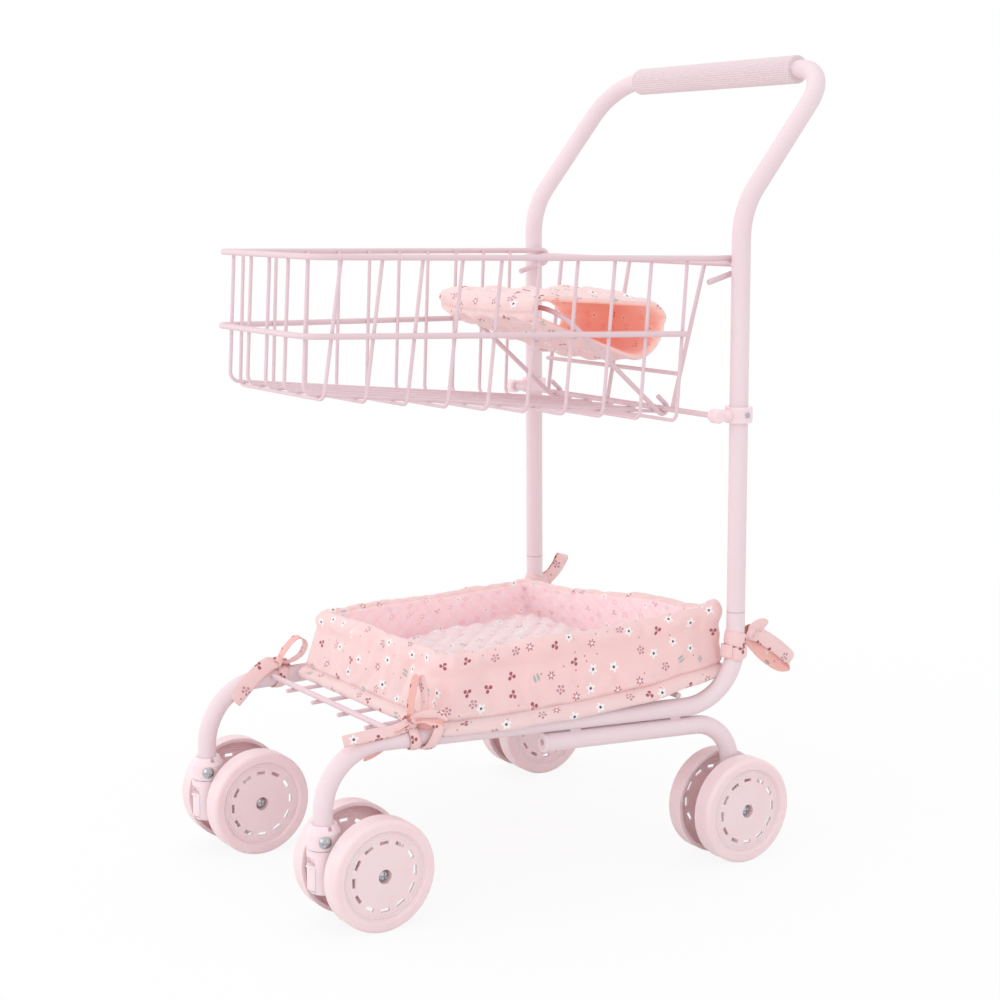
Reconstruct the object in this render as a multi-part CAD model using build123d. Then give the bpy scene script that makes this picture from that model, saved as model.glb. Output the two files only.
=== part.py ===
from build123d import *
import math
import os

# Millimetres. The posts stand in the plane y = 0, the front is -y, left is +x and the floor is z = 0.
# At the end every piece is moved along y, so that the origin is under the middle of the trolley.

# Bent steel tube of the frame
TUBE_OD = 13.0
TUBE_WALL = 1.2
POST_HALF = 126.0
LEG_HALF = 88.6
LEG_FORWARD = 310.0
RAIL_REAR_Z = 112.0
RAIL_FRONT_Z = 121.0
RAIL_REAR_BEND = 40.0
RAIL_FRONT_BEND = 42.0
SEAM_Z = 177.5
SPIGOT_LENGTH = 24.0
SPIGOT_OVERLAP = 8.0

# Handle
KNEE_Z = 457.0
KNEE_BEND = 55.0
HANDLE_BACK = 79.5
HANDLE_Z = 554.4
CORNER_BEND = 33.0
GRIP_OD = 20.0
GRIP_LENGTH = 182.0
GRIP_FLUTES = 36
FLUTE_DEPTH = 0.7

# Rear legs under the rails
REAR_LEG_ALONG = 4.0
REAR_LEG_LENGTH = 148.0
REAR_LEG_BEND = 30.0
BEAD_GAP = 0.6
BEAD_LENGTH = 8.0
BEAD_WIDTH = 4.0
BEADS_ALONG = (50.0, 129.0)
PLUG_CAP = 2.0
PLUG_DEPTH = 12.0
PLUG_HOLE_R = 2.2

# Wire rack between the rails
RACK_Z = 122.0
RACK_LEG_GAP = 54.0
RACK_REAR = 46.0
RACK_OVERHANG = 5.0
RACK_SPACING = 38.0
RACK_LONG_COUNT = 4
RACK_LONG_R = 1.5

# Basket wires and rear panel
RING_R = 2.0
WIRE_R = 1.25
WELD_GAP = 0.05
HOOK_R = 5.3
HOOK_TAIL = 22.0
HOOK_TAIL_DROP = 15.0
RIM_LEVEL = 16.0
RIM_POST_GAP = 2.0
RIM_REAR_BEND = 30.0
RIM_FRONT_BEND = 13.0
RIM_FRONT_HALF = 71.0
RIM_FRONT = 298.0
RIM_FRONT_RISE = 6.45
TOP_ROD_Z = 420.0
ROD_R = 2.0
BOTTOM_ROD_FORWARD = 20.0
HOOP_COUNT = 10
HOOP_BEND = 6.0
HOOP_TOP_REAR = 33.4
HOOP_TOP_FRONT = 279.4
HOOP_FLOOR_REAR = 40.0
HOOP_FLOOR_FRONT = 289.0
FLOOR_REAR_HALF = 107.0
FLOOR_FRONT_HALF = 61.0
FLOOR_REAR_Z = 313.2
FLOOR_FRONT_Z = 339.6
MID_REAR_SHARE = 0.46
MID_FRONT_SHARE = 0.55
MID_REAR_END = 36.0
MID_CLEARANCE = 0.15
LONG_COUNT = 5
LONG_SPACING = 27.0
LONG_BEND = 7.0
LONG_LEAN = 5.5
LONG_CLEARANCE = 0.3
LONG_OVERHANG = 3.0
PANEL_WIRE_R = 1.5
PANEL_TOP_HALF = 87.0
PANEL_FLOOR_HALF = 77.0
PANEL_CROSS_Z = 342.6
PANEL_CROSS_OVERHANG = 1.0

# Clips that hold the bottom rod on the posts
CLIP_HEIGHT = 11.0
CLIP_WALL = 3.0
CLIP_MOUTH = 9.0
KNOB_R = 5.0
KNOB_LENGTH = 9.0
NECK_R = 4.2
CLIP_SCREW_R = 1.2
CLIP_SCREW_HEAD_R = 2.0
CLIP_SCREW_HEAD = 1.0
CLIP_SCREW_LENGTH = 4.0

# Folding doll's seat
SEAT_WIRE_R = 1.7
SEAT_HALF = 66.0
SEAT_LENGTH = 117.0
SEAT_ANGLE = 41.0
SEAT_BEND = 21.0
SEAT_TAIL = 9.0
HINGE_GAP = 0.3
PAD_WALL = 4.5
PAD_SAG = 2.0
PAD_NOSE_R = 9.5
PAD_NOSE_AHEAD = 6.0
PAD_HEEL_R = 24.0
PAD_HEEL_FORWARD = 39.5
PAD_HEEL_Z = 377.0
PAD_END_GAP = 1.0

# Fabric tray
TRAY_LEG_GAP = 74.0
TRAY_FRONT_LEAN = 22.5
TRAY_REAR = 9.0
TRAY_OVER_RAIL = 5.0
TRAY_SIDE_GAP = 1.0
TRAY_TOP_FRONT_HALF = 84.5
TRAY_TOP_REAR_IN = 3.5
TRAY_FRONT_HEIGHT = 42.5
TRAY_REAR_HEIGHT = 47.5
TRAY_WALL = 5.0
TRAY_FLOOR = 3.0
TRAY_CORNER = 9.0
SOFT_GAP = 0.3
CUSHION_HEIGHT = 13.0
CUSHION_CROWN = 5.0
CUSHION_INSET = 7.0
CUSHION_EDGE = 10.0
CUSHION_CHANNELS = 4
CHANNEL_SPACING = 52.0
CHANNEL_R = 7.0
CHANNEL_DEPTH = 1.6
TIE_WIDTH = 9.0
TIE_CLOTH = 1.4
TIE_KNOT = 10.0
TIE_KNOT_ROUND = 2.5
TIE_LOOP_ROOT_R = 2.4
TIE_LOOP_R = 6.5
TIE_LOOP_REACH = 21.0
TIE_LOOP_ANGLES = (8.0, -38.0)
TIE_TAIL_ANGLES = (86.0, 68.0)
TIE_TAIL_LENGTHS = (46.0, 34.0)
TIE_TAIL_NARROWING = 0.6
TIE_BEND_GAP = 20.0
TIE_SEAM_GAP = 17.5
TIE_REAR_TURN = 60.0

# Wheels
WHEEL_R = 37.5
WHEEL_WIDTH = 14.0
TREAD_ROUND = 3.0
RIM_WALL = 2.6
RING_INNER_R = 30.5
FACE_STEP = 1.6
DISC_WALL = 1.8
DISC_DOME = 0.8
HUB_R = 7.0
COUNTERBORE_R = 4.8
COUNTERBORE_DEPTH = 3.6
SLOT_COUNT = 12
SLOT_R = 22.5
SLOT_LENGTH = 6.5
SLOT_WIDTH = 2.4
AXLE_R = 3.0
RUNNING_FIT = 0.05
STATIC_FIT = 0.02
WHEEL_SIDE_GAP = 0.5
SCREW_HEAD_R = 4.2
SCREW_HEAD = 2.2
RECESS_SHARE = 0.62
RECESS_WIDTH = 0.9
RECESS_DEPTH = 1.3
SCREW_SHANK_R = 1.5
SCREW_LENGTH = 8.0
SCREW_PLAY = 0.3

# Front casters
TRAIL = 29.0
PARTING_Z = 55.5
PARTING_GAP = 0.4
COLLAR_R = 11.2
COLLAR_HEIGHT = 15.5
COLLAR_MOUTH_R = 8.7
COLLAR_SHOULDER = 5.0
COLLAR_FLOOR = 3.0
COLLAR_NOTCH = 3.0
COLLAR_SCREW_Z = 61.5
COLLAR_SCREW_TURN = -22.0
COLLAR_SCREW_R = 1.6
COLLAR_SCREW_HEAD_R = 4.2
COLLAR_SCREW_HEAD = 2.4
COLLAR_SCREW_LENGTH = 7.0
KINGPIN_R = 4.0
KINGPIN_RISE = 2.0
KINGPIN_PLAY = 0.5
KINGPIN_BOTTOM_Z = 31.0
CASTER_R = 11.2
CASTER_BOTTOM_Z = 25.5
CASTER_HUB_WIDTH = 29.4
CASTER_HUB_R = 9.0
CASTER_ARM_WIDTH = 15.0
CASTER_ARM_R = 11.5
WINDOW_WIDTH = 12.0
WINDOW_DEPTH = 3.6
WINDOW_BOTTOM_Z = 28.0
WINDOW_TOP_Z = 50.5
LOCK_GAP = 0.3
LOCK_HEIGHT = 16.5
LOCK_REST = 0.5
LOCK_RIDGE = 1.2

# Rear boots
BOOT_WALL = 1.4
BOOT_TOP_Z = 68.0
BOOT_BOTTOM_Z = 27.0
BOOT_FLOOR_Z = 45.0
BOOT_NOTCH = 3.0

# Values that follow from the sizes above
TUBE_R = TUBE_OD / 2
BORE_R = TUBE_R - TUBE_WALL
RAIL_RUN = math.hypot(POST_HALF - LEG_HALF, LEG_FORWARD)
HEADING = Vector(LEG_HALF - POST_HALF, -LEG_FORWARD) / RAIL_RUN
RAIL_SLOPE = (RAIL_FRONT_Z - RAIL_REAR_Z) / RAIL_RUN
RAIL_DIRECTION = Vector(HEADING.X, HEADING.Y, RAIL_SLOPE).normalized()
LEG_END_Z = PARTING_Z + COLLAR_FLOOR + KINGPIN_RISE + KINGPIN_PLAY
REAR_LEG_DROP = (TUBE_OD + BEAD_GAP) / RAIL_DIRECTION.dot(HEADING)
REAR_WHEEL_GAP = TUBE_OD + 2 * BOOT_WALL + 2 * WHEEL_SIDE_GAP
FRONT_WHEEL_GAP = CASTER_HUB_WIDTH + 2 * WHEEL_SIDE_GAP
RIM_REAR_HALF = POST_HALF - TUBE_R - RING_R - RIM_POST_GAP
RIM_REAR_Z = TOP_ROD_Z + ROD_R + RING_R + WELD_GAP
RIM_FRONT_Z = RIM_REAR_Z + RIM_FRONT_RISE
RACK_FRONT = LEG_FORWARD - RACK_LEG_GAP
TRAY_FRONT = LEG_FORWARD - TRAY_LEG_GAP
RIM_TO_WIRE = RING_R + WIRE_R + WELD_GAP
LONG_LIFT = 2 * WIRE_R + WELD_GAP
FRONT_REACH = LEG_FORWARD + CASTER_R + LOCK_RIDGE / 2
REAR_REACH = HANDLE_BACK + GRIP_OD / 2
BASE_SHIFT = Pos(0, (FRONT_REACH - REAR_REACH) / 2, 0)


def pipe(points, bends, radius, bore=0.0):
    """A round bar or tube along straight runs joined by tangent bends."""
    path = FilletPolyline(*points, radius=bends) if len(points) > 2 else Line(*points)
    section = Circle(radius) - Circle(bore) if bore else Circle(radius)
    return sweep(Plane(origin=path @ 0, z_dir=path % 0) * section, path=path)


def bar(start, end, radius):
    """A straight round bar between two points."""
    run = Vector(end) - Vector(start)
    return Solid.make_cylinder(radius, run.length, Plane(origin=start, z_dir=run))


def other_side(shape):
    return mirror(shape, about=Plane.YZ)


def between(first, last, share):
    return Vector(first) + (Vector(last) - Vector(first)) * share


def rail_point(along, below=0.0):
    """A point on the left rail's axis, measured forward from the post."""
    height = RAIL_REAR_Z + RAIL_SLOPE * along - below
    return Vector(POST_HALF + HEADING.X * along, HEADING.Y * along, height)


def rail_half(forward):
    return POST_HALF - (POST_HALF - LEG_HALF) * forward / LEG_FORWARD


def rail_core(clearance):
    """The left rail's straight run, grown by a clearance, for cutting what is welded to it."""
    return bar(rail_point(0), rail_point(RAIL_RUN), TUBE_R + clearance)


def make_frame_tube():
    """Post stub, rail and front leg, bent from one tube."""
    foot = Vector(LEG_HALF, -LEG_FORWARD, LEG_END_Z)
    corners = [Vector(POST_HALF, 0, SEAM_Z), rail_point(0), rail_point(RAIL_RUN), foot]
    return pipe(corners, [RAIL_REAR_BEND, RAIL_FRONT_BEND], TUBE_R, BORE_R)


def screw_hole(reach):
    """Hole for the collar's screw, which enters each front leg from the left and a little from the front."""
    hole = bar((0, 0, COLLAR_SCREW_Z), (reach, 0, COLLAR_SCREW_Z), COLLAR_SCREW_R + STATIC_FIT)
    return Rot(Z=COLLAR_SCREW_TURN) * hole


def drill_collar_screw(tube, side):
    return tube - Pos(side * LEG_HALF, -LEG_FORWARD, 0) * screw_hole(TUBE_OD)


def make_handle_tube():
    """Both posts and the handle bar, with swaged ends and holes for the top rod and the clip screws."""
    seam, knee = Vector(POST_HALF, 0, SEAM_Z), Vector(POST_HALF, 0, KNEE_Z)
    post = [seam, knee, Vector(POST_HALF, HANDLE_BACK, HANDLE_Z)]
    corners = post + [Vector(-p.X, p.Y, p.Z) for p in reversed(post)]
    tube = pipe(corners, [KNEE_BEND, CORNER_BEND, CORNER_BEND, KNEE_BEND], TUBE_R, BORE_R)
    spigot_r = BORE_R - STATIC_FIT
    low = SEAM_Z - SPIGOT_LENGTH
    for side in (1, -1):
        foot = Vector(side * POST_HALF, 0, low)
        top = Vector(side * POST_HALF, 0, SEAM_Z)
        inside = Vector(side * POST_HALF, 0, SEAM_Z + SPIGOT_OVERLAP)
        tube += bar(foot, top, spigot_r) + bar(top, inside, BORE_R + TUBE_WALL / 4)
        tube -= bar(foot, inside, spigot_r - TUBE_WALL)
        rod_wall = Vector(side * (POST_HALF - TUBE_OD), 0, TOP_ROD_Z)
        tube -= bar(rod_wall, Vector(side * POST_HALF, 0, TOP_ROD_Z), ROD_R + STATIC_FIT)
        clip = Vector(side * POST_HALF, 0, bottom_rod_z())
        tube -= bar(clip, clip + Vector(side * TUBE_OD, 0, 0), CLIP_SCREW_R + STATIC_FIT)
    return tube


def make_grip():
    """Foam sleeve with lengthwise flutes, drawn as a saw-edged section."""
    outline = []
    for step in range(2 * GRIP_FLUTES):
        radius = GRIP_OD / 2 - (FLUTE_DEPTH if step % 2 else 0)
        angle = math.pi * step / GRIP_FLUTES
        outline.append((radius * math.cos(angle), radius * math.sin(angle)))
    section = make_face(Polyline(*outline, close=True)) - Circle(TUBE_R + STATIC_FIT)
    sleeve = extrude(section, amount=GRIP_LENGTH / 2, both=True)
    return Pos(0, HANDLE_BACK, HANDLE_Z) * Rot(Y=90) * sleeve


def rear_leg_ends():
    """Front end, corner and foot of the left rear leg, parallel to the rail above it."""
    front = rail_point(REAR_LEG_ALONG + REAR_LEG_LENGTH, REAR_LEG_DROP)
    corner = rail_point(REAR_LEG_ALONG, REAR_LEG_DROP)
    return front, corner, Vector(corner.X, corner.Y, BOOT_FLOOR_Z)


def make_rear_leg():
    """L-shaped tube with two weld beads that join it to the rail."""
    front, corner, foot = rear_leg_ends()
    leg = pipe([front, corner, foot], [REAR_LEG_BEND], TUBE_R, BORE_R)
    keep_clear = rail_core(STATIC_FIT) + bar(front, corner, TUBE_R - TUBE_WALL / 4)
    for along in BEADS_ALONG:
        middle = rail_point(along, REAR_LEG_DROP / 2)
        place = Plane(origin=middle, x_dir=RAIL_DIRECTION, z_dir=Vector(0, 0, 1).cross(HEADING))
        leg += place * Box(BEAD_LENGTH, TUBE_R, BEAD_WIDTH) - keep_clear
    return leg


def make_leg_plug():
    """Moulded cap in the rear leg's open front end, with a moulding hole."""
    front, corner, foot = rear_leg_ends()
    inward = (corner - front).normalized()
    plug = bar(front - inward * PLUG_CAP, front, TUBE_R)
    plug += bar(front, front + inward * PLUG_DEPTH, BORE_R - STATIC_FIT)
    return plug - bar(front - inward * PLUG_CAP, front + inward * PLUG_CAP, PLUG_HOLE_R)


def make_rack_cross_wires():
    """Two wires across the rails, coped where they meet the tubes."""
    wires = []
    rails = rail_core(STATIC_FIT)
    for forward in (RACK_FRONT, RACK_REAR):
        end = Vector(rail_half(forward), -forward, RACK_Z)
        wires.append(bar(Vector(-end.X, end.Y, end.Z), end, RING_R) - rails - other_side(rails))
    return wires


def make_rack_long_wires():
    wires = []
    height = RACK_Z - RING_R - RACK_LONG_R - WELD_GAP
    for index in range(RACK_LONG_COUNT):
        x = (index - (RACK_LONG_COUNT - 1) / 2) * RACK_SPACING
        front = Vector(x, -RACK_FRONT - RACK_OVERHANG, height)
        wires.append(bar(front, Vector(x, -RACK_REAR + RACK_OVERHANG, height), RACK_LONG_R))
    return wires


def bottom_rod_z():
    """The floor wires pass just under the bottom rod."""
    share = (BOTTOM_ROD_FORWARD - HOOP_FLOOR_REAR) / (HOOP_FLOOR_FRONT - HOOP_FLOOR_REAR)
    floor = FLOOR_REAR_Z + (FLOOR_FRONT_Z - FLOOR_REAR_Z) * share
    return floor + LONG_LIFT + WIRE_R + ROD_R + 2 * WELD_GAP


def make_basket_rim():
    """Thick top wire; each rear end bends down round the top rod into a hook."""
    rear = Vector(RIM_REAR_HALF, 0, RIM_REAR_Z)
    level = rear - Vector(0, RIM_LEVEL, 0)
    front = Vector(RIM_FRONT_HALF, -RIM_FRONT, RIM_FRONT_Z)
    half = [rear, level, front]
    corners = half + [Vector(-p.X, p.Y, p.Z) for p in reversed(half)]
    rim = pipe(corners, [RIM_REAR_BEND, RIM_FRONT_BEND, RIM_FRONT_BEND, RIM_REAR_BEND], RING_R)
    turn = 180 - HOOK_TAIL_DROP
    centre = rear - Vector(0, 0, HOOK_R)
    section = Plane(origin=rear, z_dir=(0, 1, 0)) * Circle(RING_R)
    hook = revolve(section, Axis(centre, (-1, 0, 0)), turn)
    slope = math.radians(HOOK_TAIL_DROP)
    tail_way = Vector(0, -math.cos(slope), -math.sin(slope))
    tail_root = centre + Vector(0, HOOK_R * math.sin(slope), -HOOK_R * math.cos(slope))
    hook += bar(tail_root, tail_root + tail_way * HOOK_TAIL, RING_R)
    return rim + hook + other_side(hook)


def rim_half(forward):
    """Half the rim's width at a distance forward of the posts."""
    share = (forward - RIM_LEVEL) / (RIM_FRONT - RIM_LEVEL)
    return RIM_REAR_HALF + (RIM_FRONT_HALF - RIM_REAR_HALF) * share


def hoop_corners(share):
    """Top end and floor corner of one hoop on the left, from the rear (0) to the front (1)."""
    forward = HOOP_TOP_REAR + (HOOP_TOP_FRONT - HOOP_TOP_REAR) * share
    height = RIM_REAR_Z + (RIM_FRONT_Z - RIM_REAR_Z) * (forward - RIM_LEVEL) / (RIM_FRONT - RIM_LEVEL)
    lean = math.hypot(1, (RIM_REAR_HALF - RIM_FRONT_HALF) / (RIM_FRONT - RIM_LEVEL))
    top = Vector(rim_half(forward) - RIM_TO_WIRE * lean, -forward, height)
    floor_rear = Vector(FLOOR_REAR_HALF, -HOOP_FLOOR_REAR, FLOOR_REAR_Z)
    floor_front = Vector(FLOOR_FRONT_HALF, -HOOP_FLOOR_FRONT, FLOOR_FRONT_Z)
    return top, between(floor_rear, floor_front, share)


def hoop_shares():
    return [index / (HOOP_COUNT - 1) for index in range(HOOP_COUNT)]


def hoop_bend_reach(top, corner):
    """Length of the corner that its bend takes up."""
    turn = (corner - top).get_angle(Vector(-1, 0, 0))
    return HOOP_BEND * math.tan(math.radians(turn) / 2)


def make_side_wires():
    """The left uprights of the hoops, each with the bend at its foot."""
    wires = []
    for share in hoop_shares():
        top, corner = hoop_corners(share)
        foot = corner - Vector(2 * hoop_bend_reach(top, corner), 0, 0)
        wires.append(pipe([top, corner, foot], [HOOP_BEND], WIRE_R))
    return wires


def make_cross_wires():
    """The hoops' straight runs across the basket's floor."""
    wires = []
    for share in hoop_shares():
        top, corner = hoop_corners(share)
        end = corner - Vector(2 * hoop_bend_reach(top, corner), 0, 0)
        wires.append(bar(Vector(-end.X, end.Y, end.Z), end, WIRE_R))
    return wires


def make_mid_ring():
    """Thick wire round the outside of the hoops at half height, open at the rear."""
    rear = between(*hoop_corners(0), MID_REAR_SHARE)
    front = between(*hoop_corners(1), MID_FRONT_SHARE)
    out = Vector(RIM_TO_WIRE + MID_CLEARANCE, 0, 0)
    nose = long_wire_front() + LONG_LEAN + RIM_TO_WIRE
    run = (front - rear) / (rear.Y - front.Y)
    end = rear + out + run * (MID_REAR_END + rear.Y)
    corner = rear + out + run * (nose + rear.Y)
    corners = [end, corner, Vector(-corner.X, corner.Y, corner.Z), Vector(-end.X, end.Y, end.Z)]
    return pipe(corners, [RIM_FRONT_BEND, RIM_FRONT_BEND], RING_R)


def long_wire_front():
    """Distance forward of the front uprights' tops, which stand just inside the rim."""
    return RIM_FRONT - RIM_TO_WIRE - LONG_CLEARANCE


def floor_height(forward):
    """Axis height of the long wires, which lie on the hoops' floor runs."""
    share = (forward - HOOP_FLOOR_REAR) / (HOOP_FLOOR_FRONT - HOOP_FLOOR_REAR)
    return FLOOR_REAR_Z + (FLOOR_FRONT_Z - FLOOR_REAR_Z) * share + LONG_LIFT + WELD_GAP


def make_long_wires():
    """L-shaped wires: a leaning upright at the front and a run along the floor to the bottom rod."""
    wires = []
    front = long_wire_front() + LONG_LEAN
    rear = BOTTOM_ROD_FORWARD - ROD_R - LONG_OVERHANG
    for index in range(LONG_COUNT):
        x = (index - (LONG_COUNT - 1) / 2) * LONG_SPACING
        top = Vector(x, -long_wire_front(), RIM_FRONT_Z)
        corner = Vector(x, -front, floor_height(front))
        wires.append(pipe([top, corner, Vector(x, -rear, floor_height(rear))], [LONG_BEND], WIRE_R))
    return wires


def make_top_rod():
    """Rod between the posts; its ends sit in holes in the tubes."""
    end = Vector(POST_HALF - TUBE_R + 2 * TUBE_WALL, 0, TOP_ROD_Z)
    return bar(Vector(-end.X, end.Y, end.Z), end, ROD_R)


def make_bottom_rod():
    end = Vector(POST_HALF, -BOTTOM_ROD_FORWARD, bottom_rod_z())
    return bar(Vector(-end.X, end.Y, end.Z), end, ROD_R)


def make_panel_wires():
    """Three uprights butted between the two rods, and one wire across their front."""
    top_y = Vector(0, 0, TOP_ROD_Z)
    low_y = Vector(0, -BOTTOM_ROD_FORWARD, bottom_rod_z())
    rods = bar(top_y - Vector(POST_HALF, 0, 0), top_y + Vector(POST_HALF, 0, 0), ROD_R + WELD_GAP)
    rods += bar(low_y - Vector(POST_HALF, 0, 0), low_y + Vector(POST_HALF, 0, 0), ROD_R + WELD_GAP)
    wires = []
    for side in (-1, 0, 1):
        top = top_y + Vector(side * PANEL_TOP_HALF, 0, 0)
        low = low_y + Vector(side * PANEL_FLOOR_HALF, 0, 0)
        wires.append(bar(top, low, PANEL_WIRE_R) - rods)
    share = (TOP_ROD_Z - PANEL_CROSS_Z) / (TOP_ROD_Z - low_y.Z)
    half = PANEL_TOP_HALF + (PANEL_FLOOR_HALF - PANEL_TOP_HALF) * share + PANEL_CROSS_OVERHANG
    tilt = math.atan2(BOTTOM_ROD_FORWARD, TOP_ROD_Z - low_y.Z)
    forward = BOTTOM_ROD_FORWARD * share + (2 * PANEL_WIRE_R + WELD_GAP) / math.cos(tilt)
    end = Vector(half, -forward, PANEL_CROSS_Z)
    wires.append(bar(Vector(-end.X, end.Y, end.Z), end, PANEL_WIRE_R))
    return wires


def make_clip():
    """Moulded clip: an open ring on the post, a neck, and a knob that takes the end of the bottom rod."""
    height = bottom_rod_z()
    post = Vector(POST_HALF, 0, height)
    knob = Vector(POST_HALF, -BOTTOM_ROD_FORWARD, height)
    ring_r = TUBE_R + STATIC_FIT + CLIP_WALL
    half = Vector(0, 0, CLIP_HEIGHT / 2)
    clip = bar(post - half, post + half, ring_r)
    clip += bar(post, knob, NECK_R)
    across = Vector(KNOB_LENGTH / 2, 0, 0)
    ball = fillet(bar(knob - across, knob + across, KNOB_R).edges(), KNOB_R / 3)
    clip += ball
    clip -= bar(post - half, post + half, TUBE_R + STATIC_FIT)
    mouth = Pos(POST_HALF, ring_r, height) * Box(CLIP_MOUTH, 2 * ring_r, CLIP_HEIGHT)
    clip -= mouth
    clip -= bar(knob - across, knob + Vector(STATIC_FIT, 0, 0), ROD_R + STATIC_FIT)
    face = Vector(POST_HALF + ring_r, 0, height)
    clip -= bar(post, face, CLIP_SCREW_R + STATIC_FIT)
    return clip - bar(face - Vector(CLIP_SCREW_HEAD, 0, 0), face, CLIP_SCREW_HEAD_R + STATIC_FIT)


def make_clip_screw():
    face = Vector(POST_HALF + TUBE_R + STATIC_FIT + CLIP_WALL, 0, bottom_rod_z())
    seat = face - Vector(CLIP_SCREW_HEAD, 0, 0)
    return bar(seat, face, CLIP_SCREW_HEAD_R) + bar(seat - Vector(CLIP_SCREW_LENGTH, 0, 0), seat, CLIP_SCREW_R)


def seat_hook_r():
    return ROD_R + HINGE_GAP + SEAT_WIRE_R


def seat_way():
    """Direction of the seat frame's arms, from the bottom rod forward and up."""
    angle = math.radians(SEAT_ANGLE)
    return Vector(0, -math.cos(angle), math.sin(angle))


def seat_bar_centre():
    """Middle of the seat frame's front bar."""
    rod = Vector(0, -BOTTOM_ROD_FORWARD, bottom_rod_z())
    under = Vector(0, -seat_way().Z, seat_way().Y)
    return rod + under * seat_hook_r() + seat_way() * SEAT_LENGTH


def make_seat_frame():
    """U-shaped wire; its arms pass under the bottom rod, hook round it and end in short tails."""
    way = seat_way()
    under = Vector(0, -way.Z, way.Y)
    rod = Vector(SEAT_HALF, -BOTTOM_ROD_FORWARD, bottom_rod_z())
    root = rod + under * seat_hook_r()
    tip = root + way * SEAT_LENGTH
    corners = [root, tip, Vector(-tip.X, tip.Y, tip.Z), Vector(-root.X, root.Y, root.Z)]
    frame = pipe(corners, [SEAT_BEND, SEAT_BEND], SEAT_WIRE_R)
    section = Plane(origin=root, z_dir=way) * Circle(SEAT_WIRE_R)
    hook = revolve(section, Axis(rod, (1, 0, 0)), 180)
    tail = rod - under * seat_hook_r()
    hook += bar(tail, tail + way * SEAT_TAIL, SEAT_WIRE_R)
    return frame + hook + other_side(hook)


def pad_section(x, wall, sag):
    """Tear-drop section of the seat sleeve: a narrow nose round the bar and a full heel at the rear."""
    nose = seat_bar_centre() - Vector(0, PAD_NOSE_AHEAD, 0)
    heel_r = PAD_HEEL_R - wall
    nose_r = PAD_NOSE_R - wall
    heel = Vector(0, -PAD_HEEL_FORWARD, PAD_HEEL_Z - sag)
    run = heel - nose
    reach = math.hypot(run.Y, run.Z)
    lean = math.acos((nose_r - heel_r) / reach)
    course = math.atan2(run.Z, run.Y)

    def on_circle(centre, radius, angle):
        return Vector(x, centre.Y + radius * math.cos(angle), centre.Z + radius * math.sin(angle))

    up, down = course + lean, course - lean
    top = Line(on_circle(nose, nose_r, up), on_circle(heel, heel_r, up))
    rear_up = on_circle(heel, heel_r, course + lean / 2)
    rear = on_circle(heel, heel_r, course)
    rear_down = on_circle(heel, heel_r, course - lean / 2)
    heel_top = ThreePointArc(top @ 1, rear_up, rear)
    heel_low = ThreePointArc(rear, rear_down, on_circle(heel, heel_r, down))
    low = Line(heel_low @ 1, on_circle(nose, nose_r, down))
    front = ThreePointArc(low @ 1, on_circle(nose, nose_r, course + math.pi), top @ 0)
    return make_face([top, heel_top, heel_low, low, front])


def make_seat_pad():
    """Quilted sleeve on the seat frame's bar, open at both ends, a little lower in the middle."""
    half = SEAT_HALF - SEAT_WIRE_R - PAD_END_GAP
    stations = [(-half, 0), (0, PAD_SAG), (half, 0)]
    outer = loft([pad_section(x, 0, sag) for x, sag in stations])
    inner = loft([pad_section(x, PAD_WALL, sag) for x, sag in stations])
    return outer - inner


def tray_outline(inset, front_z, rear_z, top_share):
    """Rounded four-cornered outline of the tray, from its floor (0) to its top edge (1)."""
    front = TRAY_FRONT - TRAY_FRONT_LEAN * top_share
    floor_half = rail_half(TRAY_FRONT) + TRAY_OVER_RAIL
    front_half = floor_half + (TRAY_TOP_FRONT_HALF - floor_half) * top_share - inset
    rear_half = rail_half(TRAY_REAR) - TUBE_R - TRAY_SIDE_GAP - TRAY_TOP_REAR_IN * top_share - inset
    front_left = Vector(front_half, inset - front, front_z)
    rear_left = Vector(rear_half, -TRAY_REAR - inset, rear_z)
    corners = [front_left, rear_left, Vector(-rear_left.X, rear_left.Y, rear_left.Z)]
    corners.append(Vector(-front_left.X, front_left.Y, front_left.Z))
    return make_face(FilletPolyline(*corners, radius=max(TRAY_CORNER - inset, TRAY_CORNER / 3), close=True))


def tray_floor_z():
    """The tray lies on the rails where they are highest, at its front, and spans the rack between them."""
    return rail_point(TRAY_FRONT).Z + TUBE_R + SOFT_GAP


def make_tray_liner():
    """Open fabric box whose front and sides lean inward."""
    floor = tray_floor_z()
    front_top, rear_top = floor + TRAY_FRONT_HEIGHT, floor + TRAY_REAR_HEIGHT
    outer_top = tray_outline(0, front_top, rear_top, 1)
    outer = loft([tray_outline(0, floor, floor, 0), outer_top], ruled=True)
    base = floor + TRAY_FLOOR
    inner_top = tray_outline(TRAY_WALL, front_top + TRAY_FLOOR, rear_top + TRAY_FLOOR, 1)
    return outer - loft([tray_outline(TRAY_WALL, base, base, 0), inner_top], ruled=True)


def cushion_outline(inset, height):
    return tray_outline(TRAY_WALL + CUSHION_INSET + inset, height, height, 0)


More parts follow.
